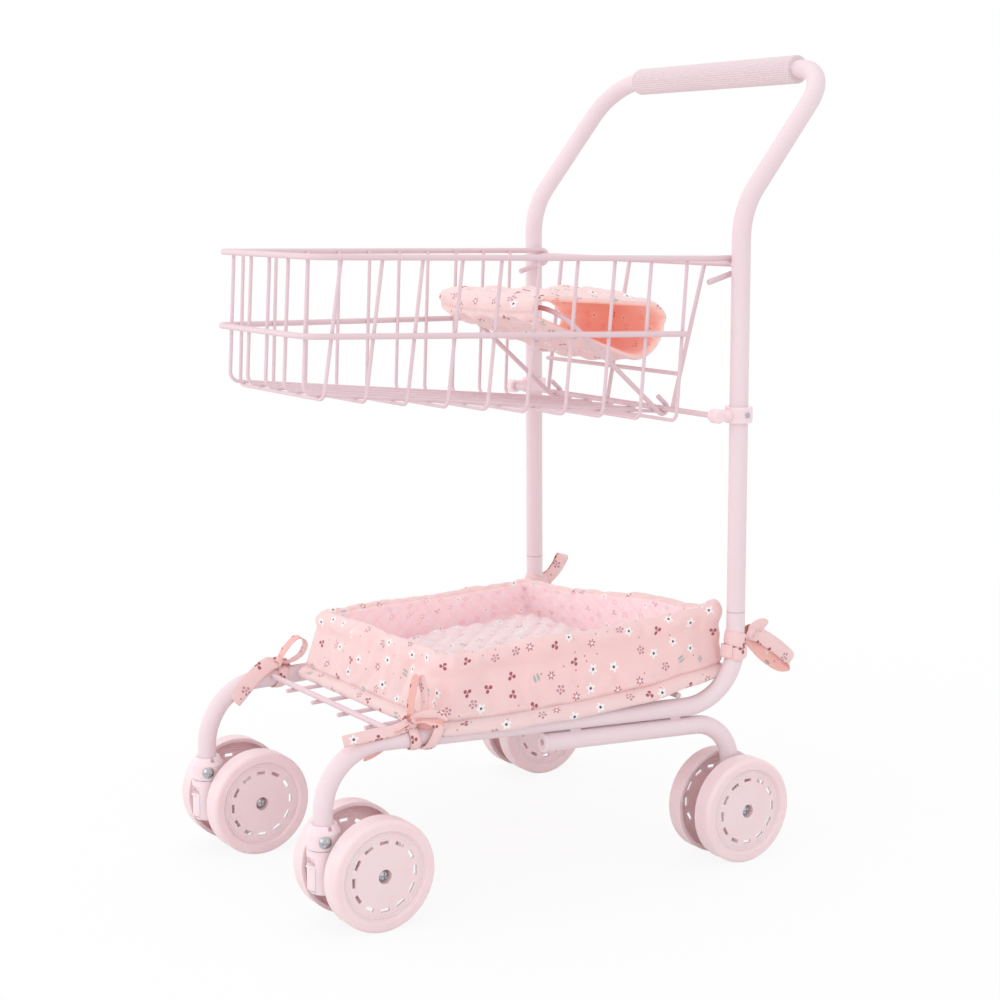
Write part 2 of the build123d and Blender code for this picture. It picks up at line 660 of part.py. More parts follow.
def make_tray_pad():
    """Padded base with drawn-in sides, a crowned top and sewn channels that cross."""
    low = tray_floor_z() + TRAY_FLOOR + SOFT_GAP
    belly = low + (CUSHION_HEIGHT - CUSHION_CROWN) / 2
    shoulder = low + CUSHION_HEIGHT - CUSHION_CROWN
    top = low + CUSHION_HEIGHT
    layers = [(CUSHION_INSET, low), (0, belly), (CUSHION_INSET, shoulder), (CUSHION_INSET + CUSHION_EDGE, top)]
    sections = [cushion_outline(inset, height) for inset, height in layers]
    pad = loft(sections[:2], ruled=True) + loft(sections[1:3], ruled=True) + loft(sections[2:], ruled=True)
    middle = Pos(0, -(TRAY_FRONT + TRAY_REAR) / 2, top + CHANNEL_R - CHANNEL_DEPTH)
    for turn in (45, -45):
        for index in range(CUSHION_CHANNELS):
            offset = (index - (CUSHION_CHANNELS - 1) / 2) * CHANNEL_SPACING
            groove = Cylinder(CHANNEL_R, 2 * TRAY_FRONT, rotation=(90, 0, 0))
            pad -= middle * Rot(Z=turn) * Pos(offset, 0, 0) * groove
    return pad


def tie_loop(cloth):
    """Outline of one bow loop, drawn in by the cloth's thickness where asked."""
    root = Circle(TIE_LOOP_ROOT_R - cloth)
    tip = Pos(TIE_LOOP_REACH, 0) * Circle(TIE_LOOP_R - cloth)
    return make_hull(root.edges() + tip.edges())


def make_tie(place):
    """Ribbon round a tube: a band, a knot at +x, two bow loops and two tails. The tube runs along z."""
    band_r = TUBE_R + SOFT_GAP
    tie = Cylinder(band_r + TIE_CLOTH, TIE_WIDTH + TIE_CLOTH) - Cylinder(band_r, TIE_WIDTH + TIE_CLOTH)
    knot = Pos(band_r + (TIE_CLOTH + TIE_KNOT) / 2, 0, 0) * Rot(X=90)
    tie += knot * fillet(Box(TIE_KNOT, TIE_KNOT, TIE_WIDTH + 2 * TIE_CLOTH).edges(), TIE_KNOT_ROUND)
    loop = extrude(tie_loop(0) - tie_loop(TIE_CLOTH), amount=TIE_WIDTH / 2, both=True)
    for angle in TIE_LOOP_ANGLES:
        tie += knot * Rot(Z=angle) * loop
    width = TIE_WIDTH
    for angle, length in zip(TIE_TAIL_ANGLES, TIE_TAIL_LENGTHS):
        width -= TIE_TAIL_NARROWING
        tie += knot * Rot(Z=angle) * Pos(length / 2, 0, 0) * Box(length, TIE_CLOTH, width)
    return place * tie


def front_tie_place():
    """On the left rail ahead of the tray, with the knot on top and the tails forward."""
    along = RAIL_RUN - RAIL_FRONT_BEND - TIE_BEND_GAP
    return Plane(origin=rail_point(along), x_dir=(0, 0, 1), z_dir=RAIL_DIRECTION).location


def rear_tie_place():
    """On the left post under its seam, with the knot behind the tube and the tails up."""
    return Pos(POST_HALF, 0, SEAM_Z - TIE_SEAM_GAP) * Rot(Z=TIE_REAR_TURN)


def make_wheel():
    """Hollow moulded wheel on the x axis: open at x = 0, its face at the far end."""
    face = WHEEL_WIDTH
    step = face - FACE_STEP
    dome = step + DISC_DOME
    rim_in = WHEEL_R - RIM_WALL
    bore = AXLE_R + RUNNING_FIT
    outline = [
        (0, bore), (0, HUB_R), (dome - DISC_WALL, HUB_R), (step - DISC_WALL, RING_INNER_R - DISC_WALL),
        (step - DISC_WALL, rim_in), (0, rim_in), (0, WHEEL_R), (face, WHEEL_R), (face, RING_INNER_R),
        (step, RING_INNER_R - DISC_WALL), (dome, HUB_R), (dome, COUNTERBORE_R),
        (dome - COUNTERBORE_DEPTH, COUNTERBORE_R), (dome - COUNTERBORE_DEPTH, bore),
    ]
    section = make_face(Polyline(*outline, close=True))
    tread = [v for v in section.vertices() if v.Y > WHEEL_R - RUNNING_FIT]
    outer_tread = [v for v in tread if v.X > WHEEL_WIDTH / 2]
    section = fillet(outer_tread, TREAD_ROUND)
    wheel = revolve(section, Axis.X, 360)
    for index in range(SLOT_COUNT):
        slot = Pos(WHEEL_WIDTH / 2, 0, SLOT_R) * Box(WHEEL_WIDTH, SLOT_LENGTH, SLOT_WIDTH)
        wheel -= Rot(X=360 * index / SLOT_COUNT) * slot
    return wheel


def axle_half_length(gap):
    """From the middle of a pair to the axle's end, just past the wheels' counterbores."""
    seat = WHEEL_WIDTH - FACE_STEP + DISC_DOME - COUNTERBORE_DEPTH
    return gap / 2 + seat + SCREW_PLAY


def make_axle(gap):
    half = axle_half_length(gap)
    axle = Cylinder(AXLE_R, 2 * half, rotation=(0, 90, 0))
    for side in (1, -1):
        end = Vector(side * half, 0, 0)
        axle -= bar(end - Vector(side * SCREW_LENGTH, 0, 0), end, SCREW_SHANK_R + STATIC_FIT)
    return axle


def make_dome_screw(head_r, head, shank_r, length):
    """Dome-headed screw with a crossed recess, along x, its head's flat side at x = 0."""
    dome_r = (head_r ** 2 + head ** 2) / (2 * head)
    half_turn = math.asin(head_r / dome_r) / 2
    crown = (head - dome_r + dome_r * math.cos(half_turn), dome_r * math.sin(half_turn))
    shank = Polyline((head, 0), (-length, 0), (-length, shank_r), (0, shank_r), (0, head_r))
    screw = revolve(make_face([shank, ThreePointArc((0, head_r), crown, (head, 0))]), Axis.X, 360)
    arm = Pos(head, 0, 0) * Box(2 * RECESS_DEPTH, 2 * RECESS_SHARE * head_r, RECESS_WIDTH)
    return screw - arm - Rot(X=90) * arm


def make_wheel_screws(gap):
    half = axle_half_length(gap)
    length = SCREW_LENGTH - SCREW_PLAY
    screw = Pos(half, 0, 0) * make_dome_screw(SCREW_HEAD_R, SCREW_HEAD, SCREW_SHANK_R, length)
    return [screw, other_side(screw)]


def make_collar():
    """Moulded collar on the leg's end, with a sloping shoulder and a notched mouth. The leg is the z axis."""
    top = PARTING_Z + COLLAR_HEIGHT
    bore = TUBE_R + STATIC_FIT
    pin = KINGPIN_R + STATIC_FIT
    floor = PARTING_Z + COLLAR_FLOOR
    outline = [
        (pin, PARTING_Z), (COLLAR_R, PARTING_Z), (COLLAR_R, top - COLLAR_SHOULDER), (COLLAR_MOUTH_R, top),
        (bore, top), (bore, floor), (pin, floor),
    ]
    section = make_face(Polyline(*[(r, 0, z) for r, z in outline], close=True))
    collar = revolve(section, Axis.Z, 360)
    collar -= Pos(0, 0, top) * Box(3 * COLLAR_R, COLLAR_NOTCH, 2 * COLLAR_NOTCH)
    return collar - screw_hole(2 * COLLAR_R)


def make_collar_screw():
    screw = make_dome_screw(COLLAR_SCREW_HEAD_R, COLLAR_SCREW_HEAD, COLLAR_SCREW_R, COLLAR_SCREW_LENGTH)
    return Rot(Z=COLLAR_SCREW_TURN) * Pos(COLLAR_R + STATIC_FIT, 0, COLLAR_SCREW_Z) * screw


def make_kingpin():
    top = PARTING_Z + COLLAR_FLOOR + KINGPIN_RISE
    return bar((0, 0, KINGPIN_BOTTOM_Z), (0, 0, top), KINGPIN_R)


def make_caster_body():
    """Swivelling fork: a barrel round the kingpin, an arm back to the hub, and a lock's window in front."""
    top = PARTING_Z - PARTING_GAP
    body = bar((0, 0, CASTER_BOTTOM_Z), (0, 0, top), CASTER_R)
    body = chamfer(body.edges().sort_by(Axis.Z)[0], CASTER_R / 5)
    hub_end = Vector(CASTER_HUB_WIDTH / 2, TRAIL, WHEEL_R)
    arm_x = Vector(CASTER_ARM_WIDTH / 2, 0, 0)
    hub = Vector(0, TRAIL, WHEEL_R)
    body += bar(hub - arm_x, hub + arm_x, CASTER_ARM_R)
    arm = Box(CASTER_ARM_WIDTH, TRAIL, 2 * CASTER_ARM_R)
    body += Pos(0, TRAIL / 2, WHEEL_R) * arm
    body += bar(Vector(-hub_end.X, hub_end.Y, hub_end.Z), hub_end, CASTER_HUB_R)
    body -= bar(Vector(-hub_end.X, hub_end.Y, hub_end.Z), hub_end, AXLE_R + STATIC_FIT)
    body -= bar((0, 0, KINGPIN_BOTTOM_Z - PARTING_GAP), (0, 0, top), KINGPIN_R + RUNNING_FIT)
    height = WINDOW_TOP_Z - WINDOW_BOTTOM_Z
    window = Box(WINDOW_WIDTH, 2 * WINDOW_DEPTH, height)
    return body - Pos(0, -CASTER_R, WINDOW_BOTTOM_Z + height / 2) * window


def make_swivel_lock():
    """Sliding tab in the caster's window, with a thumb ridge."""
    width = WINDOW_WIDTH - 2 * LOCK_GAP
    depth = WINDOW_DEPTH - LOCK_GAP
    back = -CASTER_R + WINDOW_DEPTH - LOCK_GAP
    low = WINDOW_BOTTOM_Z + LOCK_REST
    tab = Pos(0, back - depth / 2, low + LOCK_HEIGHT / 2) * Box(width, depth, LOCK_HEIGHT)
    outside = Pos(0, 0, low) * (Cylinder(3 * CASTER_R, 4 * LOCK_HEIGHT) - Cylinder(CASTER_R, 4 * LOCK_HEIGHT))
    tab -= outside
    ridge = Pos(0, -CASTER_R, low + LOCK_HEIGHT - LOCK_RIDGE) * Box(width / 2, LOCK_RIDGE, LOCK_RIDGE)
    return tab + ridge


def make_boot():
    """Moulded boot on the rear leg's end: it holds the leg above and the axle below. The leg is the z axis."""
    outer = TUBE_R + BOOT_WALL
    boot = bar((0, 0, BOOT_BOTTOM_Z), (0, 0, BOOT_TOP_Z), outer)
    boot = chamfer(boot.edges().sort_by(Axis.Z)[0], outer / 4)
    boot -= bar((0, 0, BOOT_FLOOR_Z), (0, 0, BOOT_TOP_Z), TUBE_R + STATIC_FIT)
    boot -= bar((-2 * outer, 0, WHEEL_R), (2 * outer, 0, WHEEL_R), AXLE_R + STATIC_FIT)
    return boot - Pos(0, 0, BOOT_TOP_Z) * Box(BOOT_NOTCH, 3 * outer, 2 * BOOT_NOTCH)


def wheel_pair(gap):
    """Left and right wheel of a pair, their faces turned outward."""
    wheel = Pos(gap / 2, 0, 0) * make_wheel()
    return wheel, other_side(wheel)


def make_all():
    """Every node's solids by name."""
    nodes = {}
    frame_tube = make_frame_tube()
    nodes["frame_tube_left"] = [drill_collar_screw(frame_tube, 1)]
    nodes["frame_tube_right"] = [drill_collar_screw(other_side(frame_tube), -1)]
    nodes["handle_tube"] = [make_handle_tube()]
    nodes["handle_grip"] = [make_grip()]
    rear_leg = make_rear_leg()
    nodes["rear_leg_left"] = [rear_leg]
    nodes["rear_leg_right"] = [other_side(rear_leg)]
    plug = make_leg_plug()
    nodes["rear_leg_plugs"] = [plug, other_side(plug)]
    nodes["rack_cross_wires"] = make_rack_cross_wires()
    nodes["rack_long_wires"] = make_rack_long_wires()

    nodes["basket_rim"] = [make_basket_rim()]
    nodes["basket_mid_ring"] = [make_mid_ring()]
    side_wires = make_side_wires()
    nodes["basket_wires_left"] = side_wires
    nodes["basket_wires_right"] = [other_side(wire) for wire in side_wires]
    nodes["basket_cross_wires"] = make_cross_wires()
    nodes["basket_long_wires"] = make_long_wires()
    nodes["top_rod"] = [make_top_rod()]
    nodes["bottom_rod"] = [make_bottom_rod()]
    nodes["panel_wires"] = make_panel_wires()
    clip = make_clip()
    nodes["basket_clamp_left"] = [clip]
    nodes["basket_clamp_right"] = [other_side(clip)]
    clip_screw = make_clip_screw()
    nodes["clamp_screws"] = [clip_screw, other_side(clip_screw)]
    nodes["seat_frame"] = [make_seat_frame()]
    nodes["seat_pad"] = [make_seat_pad()]

    nodes["tray_liner"] = [make_tray_liner()]
    nodes["tray_pad"] = [make_tray_pad()]
    front_tie = make_tie(front_tie_place())
    rear_tie = make_tie(rear_tie_place())
    nodes["tie_front_left"] = [front_tie]
    nodes["tie_front_right"] = [other_side(front_tie)]
    nodes["tie_rear_left"] = [rear_tie]
    nodes["tie_rear_right"] = [other_side(rear_tie)]

    collar, screw, kingpin = make_collar(), make_collar_screw(), make_kingpin()
    body, lock = make_caster_body(), make_swivel_lock()
    front_axle = Pos(0, TRAIL, WHEEL_R) * make_axle(FRONT_WHEEL_GAP)
    front_pair = [Pos(0, TRAIL, WHEEL_R) * wheel for wheel in wheel_pair(FRONT_WHEEL_GAP)]
    front_screws = [Pos(0, TRAIL, WHEEL_R) * part for part in make_wheel_screws(FRONT_WHEEL_GAP)]
    boot, foot = make_boot(), rear_leg_ends()[2]
    rear_axle = Pos(0, 0, WHEEL_R) * make_axle(REAR_WHEEL_GAP)
    rear_pair = [Pos(0, 0, WHEEL_R) * wheel for wheel in wheel_pair(REAR_WHEEL_GAP)]
    rear_screws = [Pos(0, 0, WHEEL_R) * part for part in make_wheel_screws(REAR_WHEEL_GAP)]
    nodes["collar_screws"] = []
    nodes["rear_wheel_screws"] = []
    for side, name, order in ((1, "left", ("outer", "inner")), (-1, "right", ("inner", "outer"))):
        leg = Pos(side * LEG_HALF, -LEG_FORWARD, 0)
        nodes["caster_collar_" + name] = [leg * collar]
        nodes["collar_screws"].append(leg * screw)
        nodes["kingpin_" + name] = [leg * kingpin]
        nodes["caster_body_" + name] = [leg * body]
        nodes["swivel_lock_" + name] = [leg * lock]
        nodes["front_axle_" + name] = [leg * front_axle]
        nodes["front_wheel_screws_" + name] = [leg * part for part in front_screws]
        heel = Pos(side * foot.X, foot.Y, 0)
        nodes["rear_boot_" + name] = [heel * boot]
        nodes["rear_axle_" + name] = [heel * rear_axle]
        nodes["rear_wheel_screws"] += [heel * part for part in rear_screws]
        for place, front_wheel, rear_wheel in zip(order, front_pair, rear_pair):
            nodes["front_wheel_" + name + "_" + place] = [leg * front_wheel]
            nodes["rear_wheel_" + name + "_" + place] = [heel * rear_wheel]
    return nodes


os.makedirs("parts", exist_ok=True)
for node, shapes in make_all().items():
    solids = [solid for shape in shapes for solid in (BASE_SHIFT * shape).solids()]
    export_step(solids[0] if len(solids) == 1 else Compound(children=solids), "parts/" + node + ".step")
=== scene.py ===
import math

import bmesh
import bpy
from mathutils import Matrix, Vector, noise


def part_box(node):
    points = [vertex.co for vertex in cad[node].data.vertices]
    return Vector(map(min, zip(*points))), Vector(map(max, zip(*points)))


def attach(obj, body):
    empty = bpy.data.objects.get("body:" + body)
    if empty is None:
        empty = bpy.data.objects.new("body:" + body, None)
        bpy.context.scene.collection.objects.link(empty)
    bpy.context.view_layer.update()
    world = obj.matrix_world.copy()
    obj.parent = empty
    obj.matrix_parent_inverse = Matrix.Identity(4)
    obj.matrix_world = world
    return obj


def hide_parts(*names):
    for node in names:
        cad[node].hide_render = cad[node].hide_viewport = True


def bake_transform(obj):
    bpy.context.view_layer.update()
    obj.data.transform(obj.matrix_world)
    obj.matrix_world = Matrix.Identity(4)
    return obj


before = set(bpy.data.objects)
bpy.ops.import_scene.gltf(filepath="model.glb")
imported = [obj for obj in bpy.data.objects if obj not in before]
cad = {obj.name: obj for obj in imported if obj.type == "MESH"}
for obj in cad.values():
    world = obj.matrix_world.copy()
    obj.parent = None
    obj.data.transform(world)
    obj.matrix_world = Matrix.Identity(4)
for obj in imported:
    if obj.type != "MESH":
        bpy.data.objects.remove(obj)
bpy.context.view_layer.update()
scene = bpy.context.scene


# Studio: a pale floor that runs out to a white backdrop, an even white surround and four broad soft lamps,
# the strongest ahead of the trolley. The camera stands at the photograph's place, a little above the basket.
CAMERA_AT = Vector((1.1293, -0.7367, 0.4716))
CAMERA_TURN = math.radians(56.858)
CAMERA_DROP = math.radians(9.3)
CAMERA_ROLL = math.radians(-0.305)
CAMERA_LENS = 68.35
SENSOR_WIDTH = 36.0
SEEN_TO = 50.0
WHITE = (1, 1, 1, 1)
SURROUND_LIGHT = 0.97
FLOOR_SIZE = 8.0
FLOOR_COLOR = (0.86, 0.85, 0.85, 1.0)
FLOOR_WHITE_NEAR = 0.88
FLOOR_NEAR, FLOOR_FAR = 0.35, 1.1
LAMP_TARGET = Vector((0, 0, 0.28))
# Each lamp's place, its width in metres and its watts.
LAMPS = {
    "key": ((0.1, -2.0, 1.0), 1.7, 8.5),
    "fill": ((1.9, -0.4, 1.0), 1.6, 2.5),
    "top": ((-0.5, 0.1, 2.2), 1.6, 5.0),
    "low": ((-1.7, -1.0, 0.4), 1.2, 4.0),
}


def feed(tree, node, **inputs):
    """Sets a node's inputs to numbers or colours, or links them to sockets; i0, i1 and so on go by place."""
    for name, value in inputs.items():
        by_place = name[0] == "i" and name[1:].isdigit()
        socket = node.inputs[int(name[1:]) if by_place else name.replace("_", " ")]
        if isinstance(value, bpy.types.NodeSocket):
            tree.links.new(value, socket)
        else:
            socket.default_value = value


def add(tree, kind, settings=None, **inputs):
    """A new shader node."""
    made = tree.nodes.new("ShaderNode" + kind)
    for name, value in (settings or {}).items():
        setattr(made, name, value)
    feed(tree, made, **inputs)
    return made


def calc(tree, operation, *values):
    """A Math node's result."""
    inputs = {f"i{place}": value for place, value in enumerate(values)}
    return add(tree, "Math", {"operation": operation}, **inputs).outputs[0]


def calc_vector(tree, operation, *values, **named):
    """A Vector Math node's result."""
    inputs = {f"i{place}": value for place, value in enumerate(values)}
    made = add(tree, "VectorMath", {"operation": operation}, **inputs, **named)
    return made.outputs["Value" if operation == "LENGTH" else "Vector"]


def spread(tree, value, low, high, first, last):
    """A value from low to high carried over to first to last."""
    inputs = {"Value": value, "From_Min": low, "From_Max": high, "To_Min": first, "To_Max": last}
    return add(tree, "MapRange", **inputs).outputs[0]


def seen_directly(tree):
    """1 for the rays that should meet a white studio: the camera's, and those in metal."""
    path = add(tree, "LightPath")
    bright = calc(tree, "MAXIMUM", path.outputs["Is Camera Ray"], path.outputs["Is Glossy Ray"])
    return calc(tree, "MAXIMUM", bright, path.outputs["Is Transmission Ray"])


def blank_tree(owner):
    """The emptied node tree of a world or a material."""
    owner.use_nodes = True
    owner.node_tree.nodes.clear()
    return owner.node_tree


def make_world():
    world = bpy.data.worlds.new("studio")
    tree = blank_tree(world)
    light = add(tree, "Background", Color=WHITE, Strength=SURROUND_LIGHT)
    white = add(tree, "Background", Color=WHITE, Strength=1.0)
    both = add(tree, "MixShader", i0=seen_directly(tree), i1=light.outputs[0], i2=white.outputs[0])
    add(tree, "OutputWorld", Surface=both.outputs[0])
    scene.world = world


def make_floor():
    half = FLOOR_SIZE / 2
    mesh = bpy.data.meshes.new("floor")
    corners = [(-half, -half, 0), (half, -half, 0), (half, half, 0), (-half, half, 0)]
    mesh.from_pydata(corners, [], [(0, 1, 2, 3)])
    floor = bpy.data.objects.new("floor", mesh)
    scene.collection.objects.link(floor)
    surface = bpy.data.materials.new("floor")
    tree = blank_tree(surface)
    matt = add(tree, "BsdfDiffuse", Color=FLOOR_COLOR)
    white = add(tree, "Emission", Color=WHITE, Strength=1.0)
    away = calc_vector(tree, "LENGTH", add(tree, "TexCoord").outputs["Object"])
    white_share = spread(tree, away, FLOOR_NEAR, FLOOR_FAR, FLOOR_WHITE_NEAR, 1.0)
    share = calc(tree, "MULTIPLY", seen_directly(tree), white_share)
    both = add(tree, "MixShader", i0=share, i1=matt.outputs[0], i2=white.outputs[0])
    add(tree, "OutputMaterial", Surface=both.outputs[0])
    mesh.materials.append(surface)


def make_camera():
    along, aside = math.cos(CAMERA_TURN), math.sin(CAMERA_TURN)
    flat, steep = math.cos(CAMERA_DROP), math.sin(CAMERA_DROP)
    back = Vector((aside * flat, -along * flat, steep))
    across = Vector((along, aside, 0))
    upright = back.cross(across)
    right = across * math.cos(CAMERA_ROLL) + upright * math.sin(CAMERA_ROLL)
    up = upright * math.cos(CAMERA_ROLL) - across * math.sin(CAMERA_ROLL)
    camera = bpy.data.objects.new("camera", bpy.data.cameras.new("camera"))
    camera.data.lens = CAMERA_LENS
    camera.data.sensor_width = SENSOR_WIDTH
    camera.data.clip_end = SEEN_TO
    turn = Matrix((right, up, back)).transposed()
    camera.matrix_world = Matrix.Translation(CAMERA_AT) @ turn.to_4x4()
    scene.collection.objects.link(camera)
    scene.camera = camera


def make_lamp(name, place, width, power):
    """A square soft lamp that faces the trolley's middle."""
    lamp = bpy.data.objects.new(name, bpy.data.lights.new(name, "AREA"))
    lamp.data.size = width
    lamp.data.energy = power
    lamp.location = place
    lamp.rotation_euler = (LAMP_TARGET - Vector(place)).to_track_quat("-Z", "Y").to_euler()
    scene.collection.objects.link(lamp)


scene.view_settings.view_transform = "Standard"
make_world()
make_floor()
make_camera()
for lamp_name, lamp_values in LAMPS.items():
    make_lamp(lamp_name, *lamp_values)


# Steel tubes: handle, side frames and rear legs, bent from thin tube, welded and coated in a satin pale
# pink paint. The coat has a faint orange peel, and pools a little where it was hung to dry. A thin shadow
# line runs round each post where the handle plugs into the side frame.
PAINT_COLOR = (0.80, 0.66, 0.70)
PAINT_SHADE = (0.755, 0.595, 0.635)
PAINT_ROUGHNESS, PAINT_COAT = 0.48, 0.04
COAT_ROUGHNESS = 0.12
POOL_SIZE = 14.0
POOL_SHARE = 0.4
POOL_ROUGHER = 1.35
PEEL_SIZE = 1100.0
PEEL_HEIGHT = 0.00003
SEAM_COLOR = (0.60, 0.42, 0.47)
SEAM_HALF = 0.0004
# The parts of a noise's range that turn one colour or roughness into the other.
BLOTCH = (0.35, 0.7)
WEAR = (0.3, 0.7)


def new_material(name):
    """A material with one Principled shader: the material, its tree and the shader."""
    surface = bpy.data.materials.new(name)
    tree = blank_tree(surface)
    shader = add(tree, "BsdfPrincipled")
    add(tree, "OutputMaterial", Surface=shader.outputs[0])
    return surface, tree, shader


def mix(tree, factor, first, second, kind="MIX"):
    """A blend of two colours."""
    colours = [(*c, 1.0) if isinstance(c, tuple) and len(c) == 3 else c for c in (first, second)]
    settings = {"data_type": "RGBA", "blend_type": kind}
    return add(tree, "Mix", settings, i0=factor, i6=colours[0], i7=colours[1]).outputs[2]


def mottle(tree, place, size, detail=3.0, **more):
    """A noise over the surface."""
    return add(tree, "TexNoise", Vector=place, Scale=size, Detail=detail, **more).outputs[0]


def bump(tree, height, distance, **more):
    return add(tree, "Bump", Strength=1.0, Distance=distance, Height=height, **more).outputs[0]


def dress(names, surface):
    """Gives CAD nodes a material."""
    for name in names:
        cad[name].data.materials.clear()
        cad[name].data.materials.append(surface)


def both_sides(*stems):
    return [f"{stem}_{side}" for stem in stems for side in ("left", "right")]


def inside(tree, value, limit, soft):
    """1 where a value is below a limit, with a soft edge."""
    room = calc(tree, "SUBTRACT", limit, value)
    return spread(tree, room, -soft, soft, 0.0, 1.0)


def make_paint(name, colour, shade, peel, roughness, coat, seam=None):
    """Paint, with a thin dark line at the height of a seam."""
    surface, tree, shader = new_material(name)
    place = add(tree, "TexCoord").outputs["Object"]
    broad = mottle(tree, place, POOL_SIZE)
    fine = mottle(tree, place, peel, detail=2.0)
    tone = mix(tree, spread(tree, broad, *BLOTCH, 0.0, POOL_SHARE), colour, shade)
    rough = spread(tree, broad, *WEAR, roughness, roughness * POOL_ROUGHER)
    if seam:
        height = add(tree, "SeparateXYZ", Vector=place).outputs[2]
        away = calc(tree, "ABSOLUTE", calc(tree, "SUBTRACT", height, seam))
        tone = mix(tree, inside(tree, away, SEAM_HALF, SEAM_HALF), tone, SEAM_COLOR)
    feed(tree, shader, Base_Color=tone, Roughness=rough, Coat_Weight=coat, Coat_Roughness=COAT_ROUGHNESS)
    feed(tree, shader, Normal=bump(tree, fine, PEEL_HEIGHT))
    return surface


seam_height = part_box("frame_tube_left")[1][2]
tube_paint = make_paint("tube_paint", PAINT_COLOR, PAINT_SHADE, PEEL_SIZE, PAINT_ROUGHNESS, PAINT_COAT,
                        seam_height)
dress(["handle_tube"] + both_sides("frame_tube", "rear_leg"), tube_paint)


# Wires of the basket, the rack and the doll's seat: steel wire, spot welded and dip coated, a thicker and
# softer-looking coat than the tubes have.
WIRE_COLOR = (0.74, 0.57, 0.615)
WIRE_SHADE = (0.71, 0.52, 0.56)
WIRE_ROUGHNESS, WIRE_COAT = 0.46, 0.06
WIRE_NODES = ["basket_rim", "basket_mid_ring", "basket_cross_wires", "basket_long_wires", "top_rod",
              "bottom_rod", "panel_wires", "rack_cross_wires", "rack_long_wires", "seat_frame"]

wire_paint = make_paint("wire_paint", WIRE_COLOR, WIRE_SHADE, PEEL_SIZE / 2, WIRE_ROUGHNESS, WIRE_COAT)
dress(WIRE_NODES + both_sides("basket_wires"), wire_paint)


# Grip: a fluted sleeve of soft foam, pushed on the handle's bar and held there by its own spring. It is matt,
# with fine closed pores, and painted shade darkens the hollows of the pores.
GRIP_COLOR = (0.775, 0.66, 0.69)
GRIP_PORE_SHADE = (0.70, 0.575, 0.60)
GRIP_ROUGHNESS = (0.62, 0.8)
GRIP_SHEEN = 0.15
HANDLED_SIZE = 22.0
PORE_SIZE = 2600.0
PORE_EDGE = (0.35, 0.6)
PORE_DEPTH = 0.00008


def make_foam():
    surface, tree, shader = new_material("grip_foam")
    place = add(tree, "TexCoord").outputs["Object"]
    pores = mottle(tree, place, PORE_SIZE, detail=4.0)
    worn = mottle(tree, place, HANDLED_SIZE, detail=2.0)
    # Painted shade: the foam turns darker where the pores sink in.
    tone = mix(tree, spread(tree, pores, *PORE_EDGE, 1.0, 0.0), GRIP_COLOR, GRIP_PORE_SHADE)
    rough = spread(tree, worn, *WEAR, *GRIP_ROUGHNESS)
    feed(tree, shader, Base_Color=tone, Roughness=rough, Sheen_Weight=GRIP_SHEEN)
    feed(tree, shader, Normal=bump(tree, pores, PORE_DEPTH))
    return surface


dress(["handle_grip"], make_foam())


# Mouldings: caster collars, caster bodies, swivel locks, clamps, plugs and rear boots, injection moulded in
# one pink plastic with a fine spark-eroded grain, and pushed or screwed on.
MOULDING_COLOR = (0.89, 0.72, 0.76)
MOULDING_SHADE = (0.855, 0.66, 0.69)
MOULDING_GRAIN = 2200.0
MOULDING_ROUGHNESS = 0.38
FLOW_SIZE = 30.0
FLOW_BEND = 0.6
FLOW_SHARE = 0.45
GRAIN_HEIGHT = 0.00003
GRAIN_SMOOTHER, GRAIN_ROUGHER = 0.85, 1.2
SCATTER_SHARE = 0.5
SCATTER_DEPTH = 0.004
SCATTER_REACH = (1.0, 0.6, 0.55)


def make_plastic(name, colour, shade, grain, roughness):
    surface, tree, shader = new_material(name)
    place = add(tree, "TexCoord").outputs["Object"]
    flow = mottle(tree, place, FLOW_SIZE, Distortion=FLOW_BEND)
    fine = mottle(tree, place, grain)
    tone = mix(tree, spread(tree, flow, *BLOTCH, 0.0, FLOW_SHARE), colour, shade)
    rough = spread(tree, fine, *WEAR, roughness * GRAIN_SMOOTHER, roughness * GRAIN_ROUGHER)
    feed(tree, shader, Base_Color=tone, Roughness=rough, Normal=bump(tree, fine, GRAIN_HEIGHT))
    feed(tree, shader, Subsurface_Weight=SCATTER_SHARE, Subsurface_Scale=SCATTER_DEPTH)
    feed(tree, shader, Subsurface_Radius=SCATTER_REACH)
    return surface


moulding = make_plastic("moulding", MOULDING_COLOR, MOULDING_SHADE, MOULDING_GRAIN, MOULDING_ROUGHNESS)
MOULDED = both_sides("basket_clamp", "caster_collar", "caster_body", "swivel_lock", "rear_boot")
dress(MOULDED + ["rear_leg_plugs"], moulding)


# Wheels: hollow-backed discs moulded in a warmer pink plastic, with turned rings on the face beside the
# slots. They run in pairs on their axles, with a dome screw in each end.
WHEEL_COLOR = (0.87, 0.70, 0.725)
WHEEL_SHADE = (0.84, 0.63, 0.645)
WHEEL_GRAIN = 1500.0
WHEEL_ROUGHNESS = 0.42
WHEEL_WIDTH_MM = 75.0
RING_PITCH_MM = 2.1
RING_FROM_MM, RING_TO_MM = 25.0, 30.0
RING_HEIGHT = 0.00012
BOX_MIDDLE = (0.5, 0.5, 0.5)


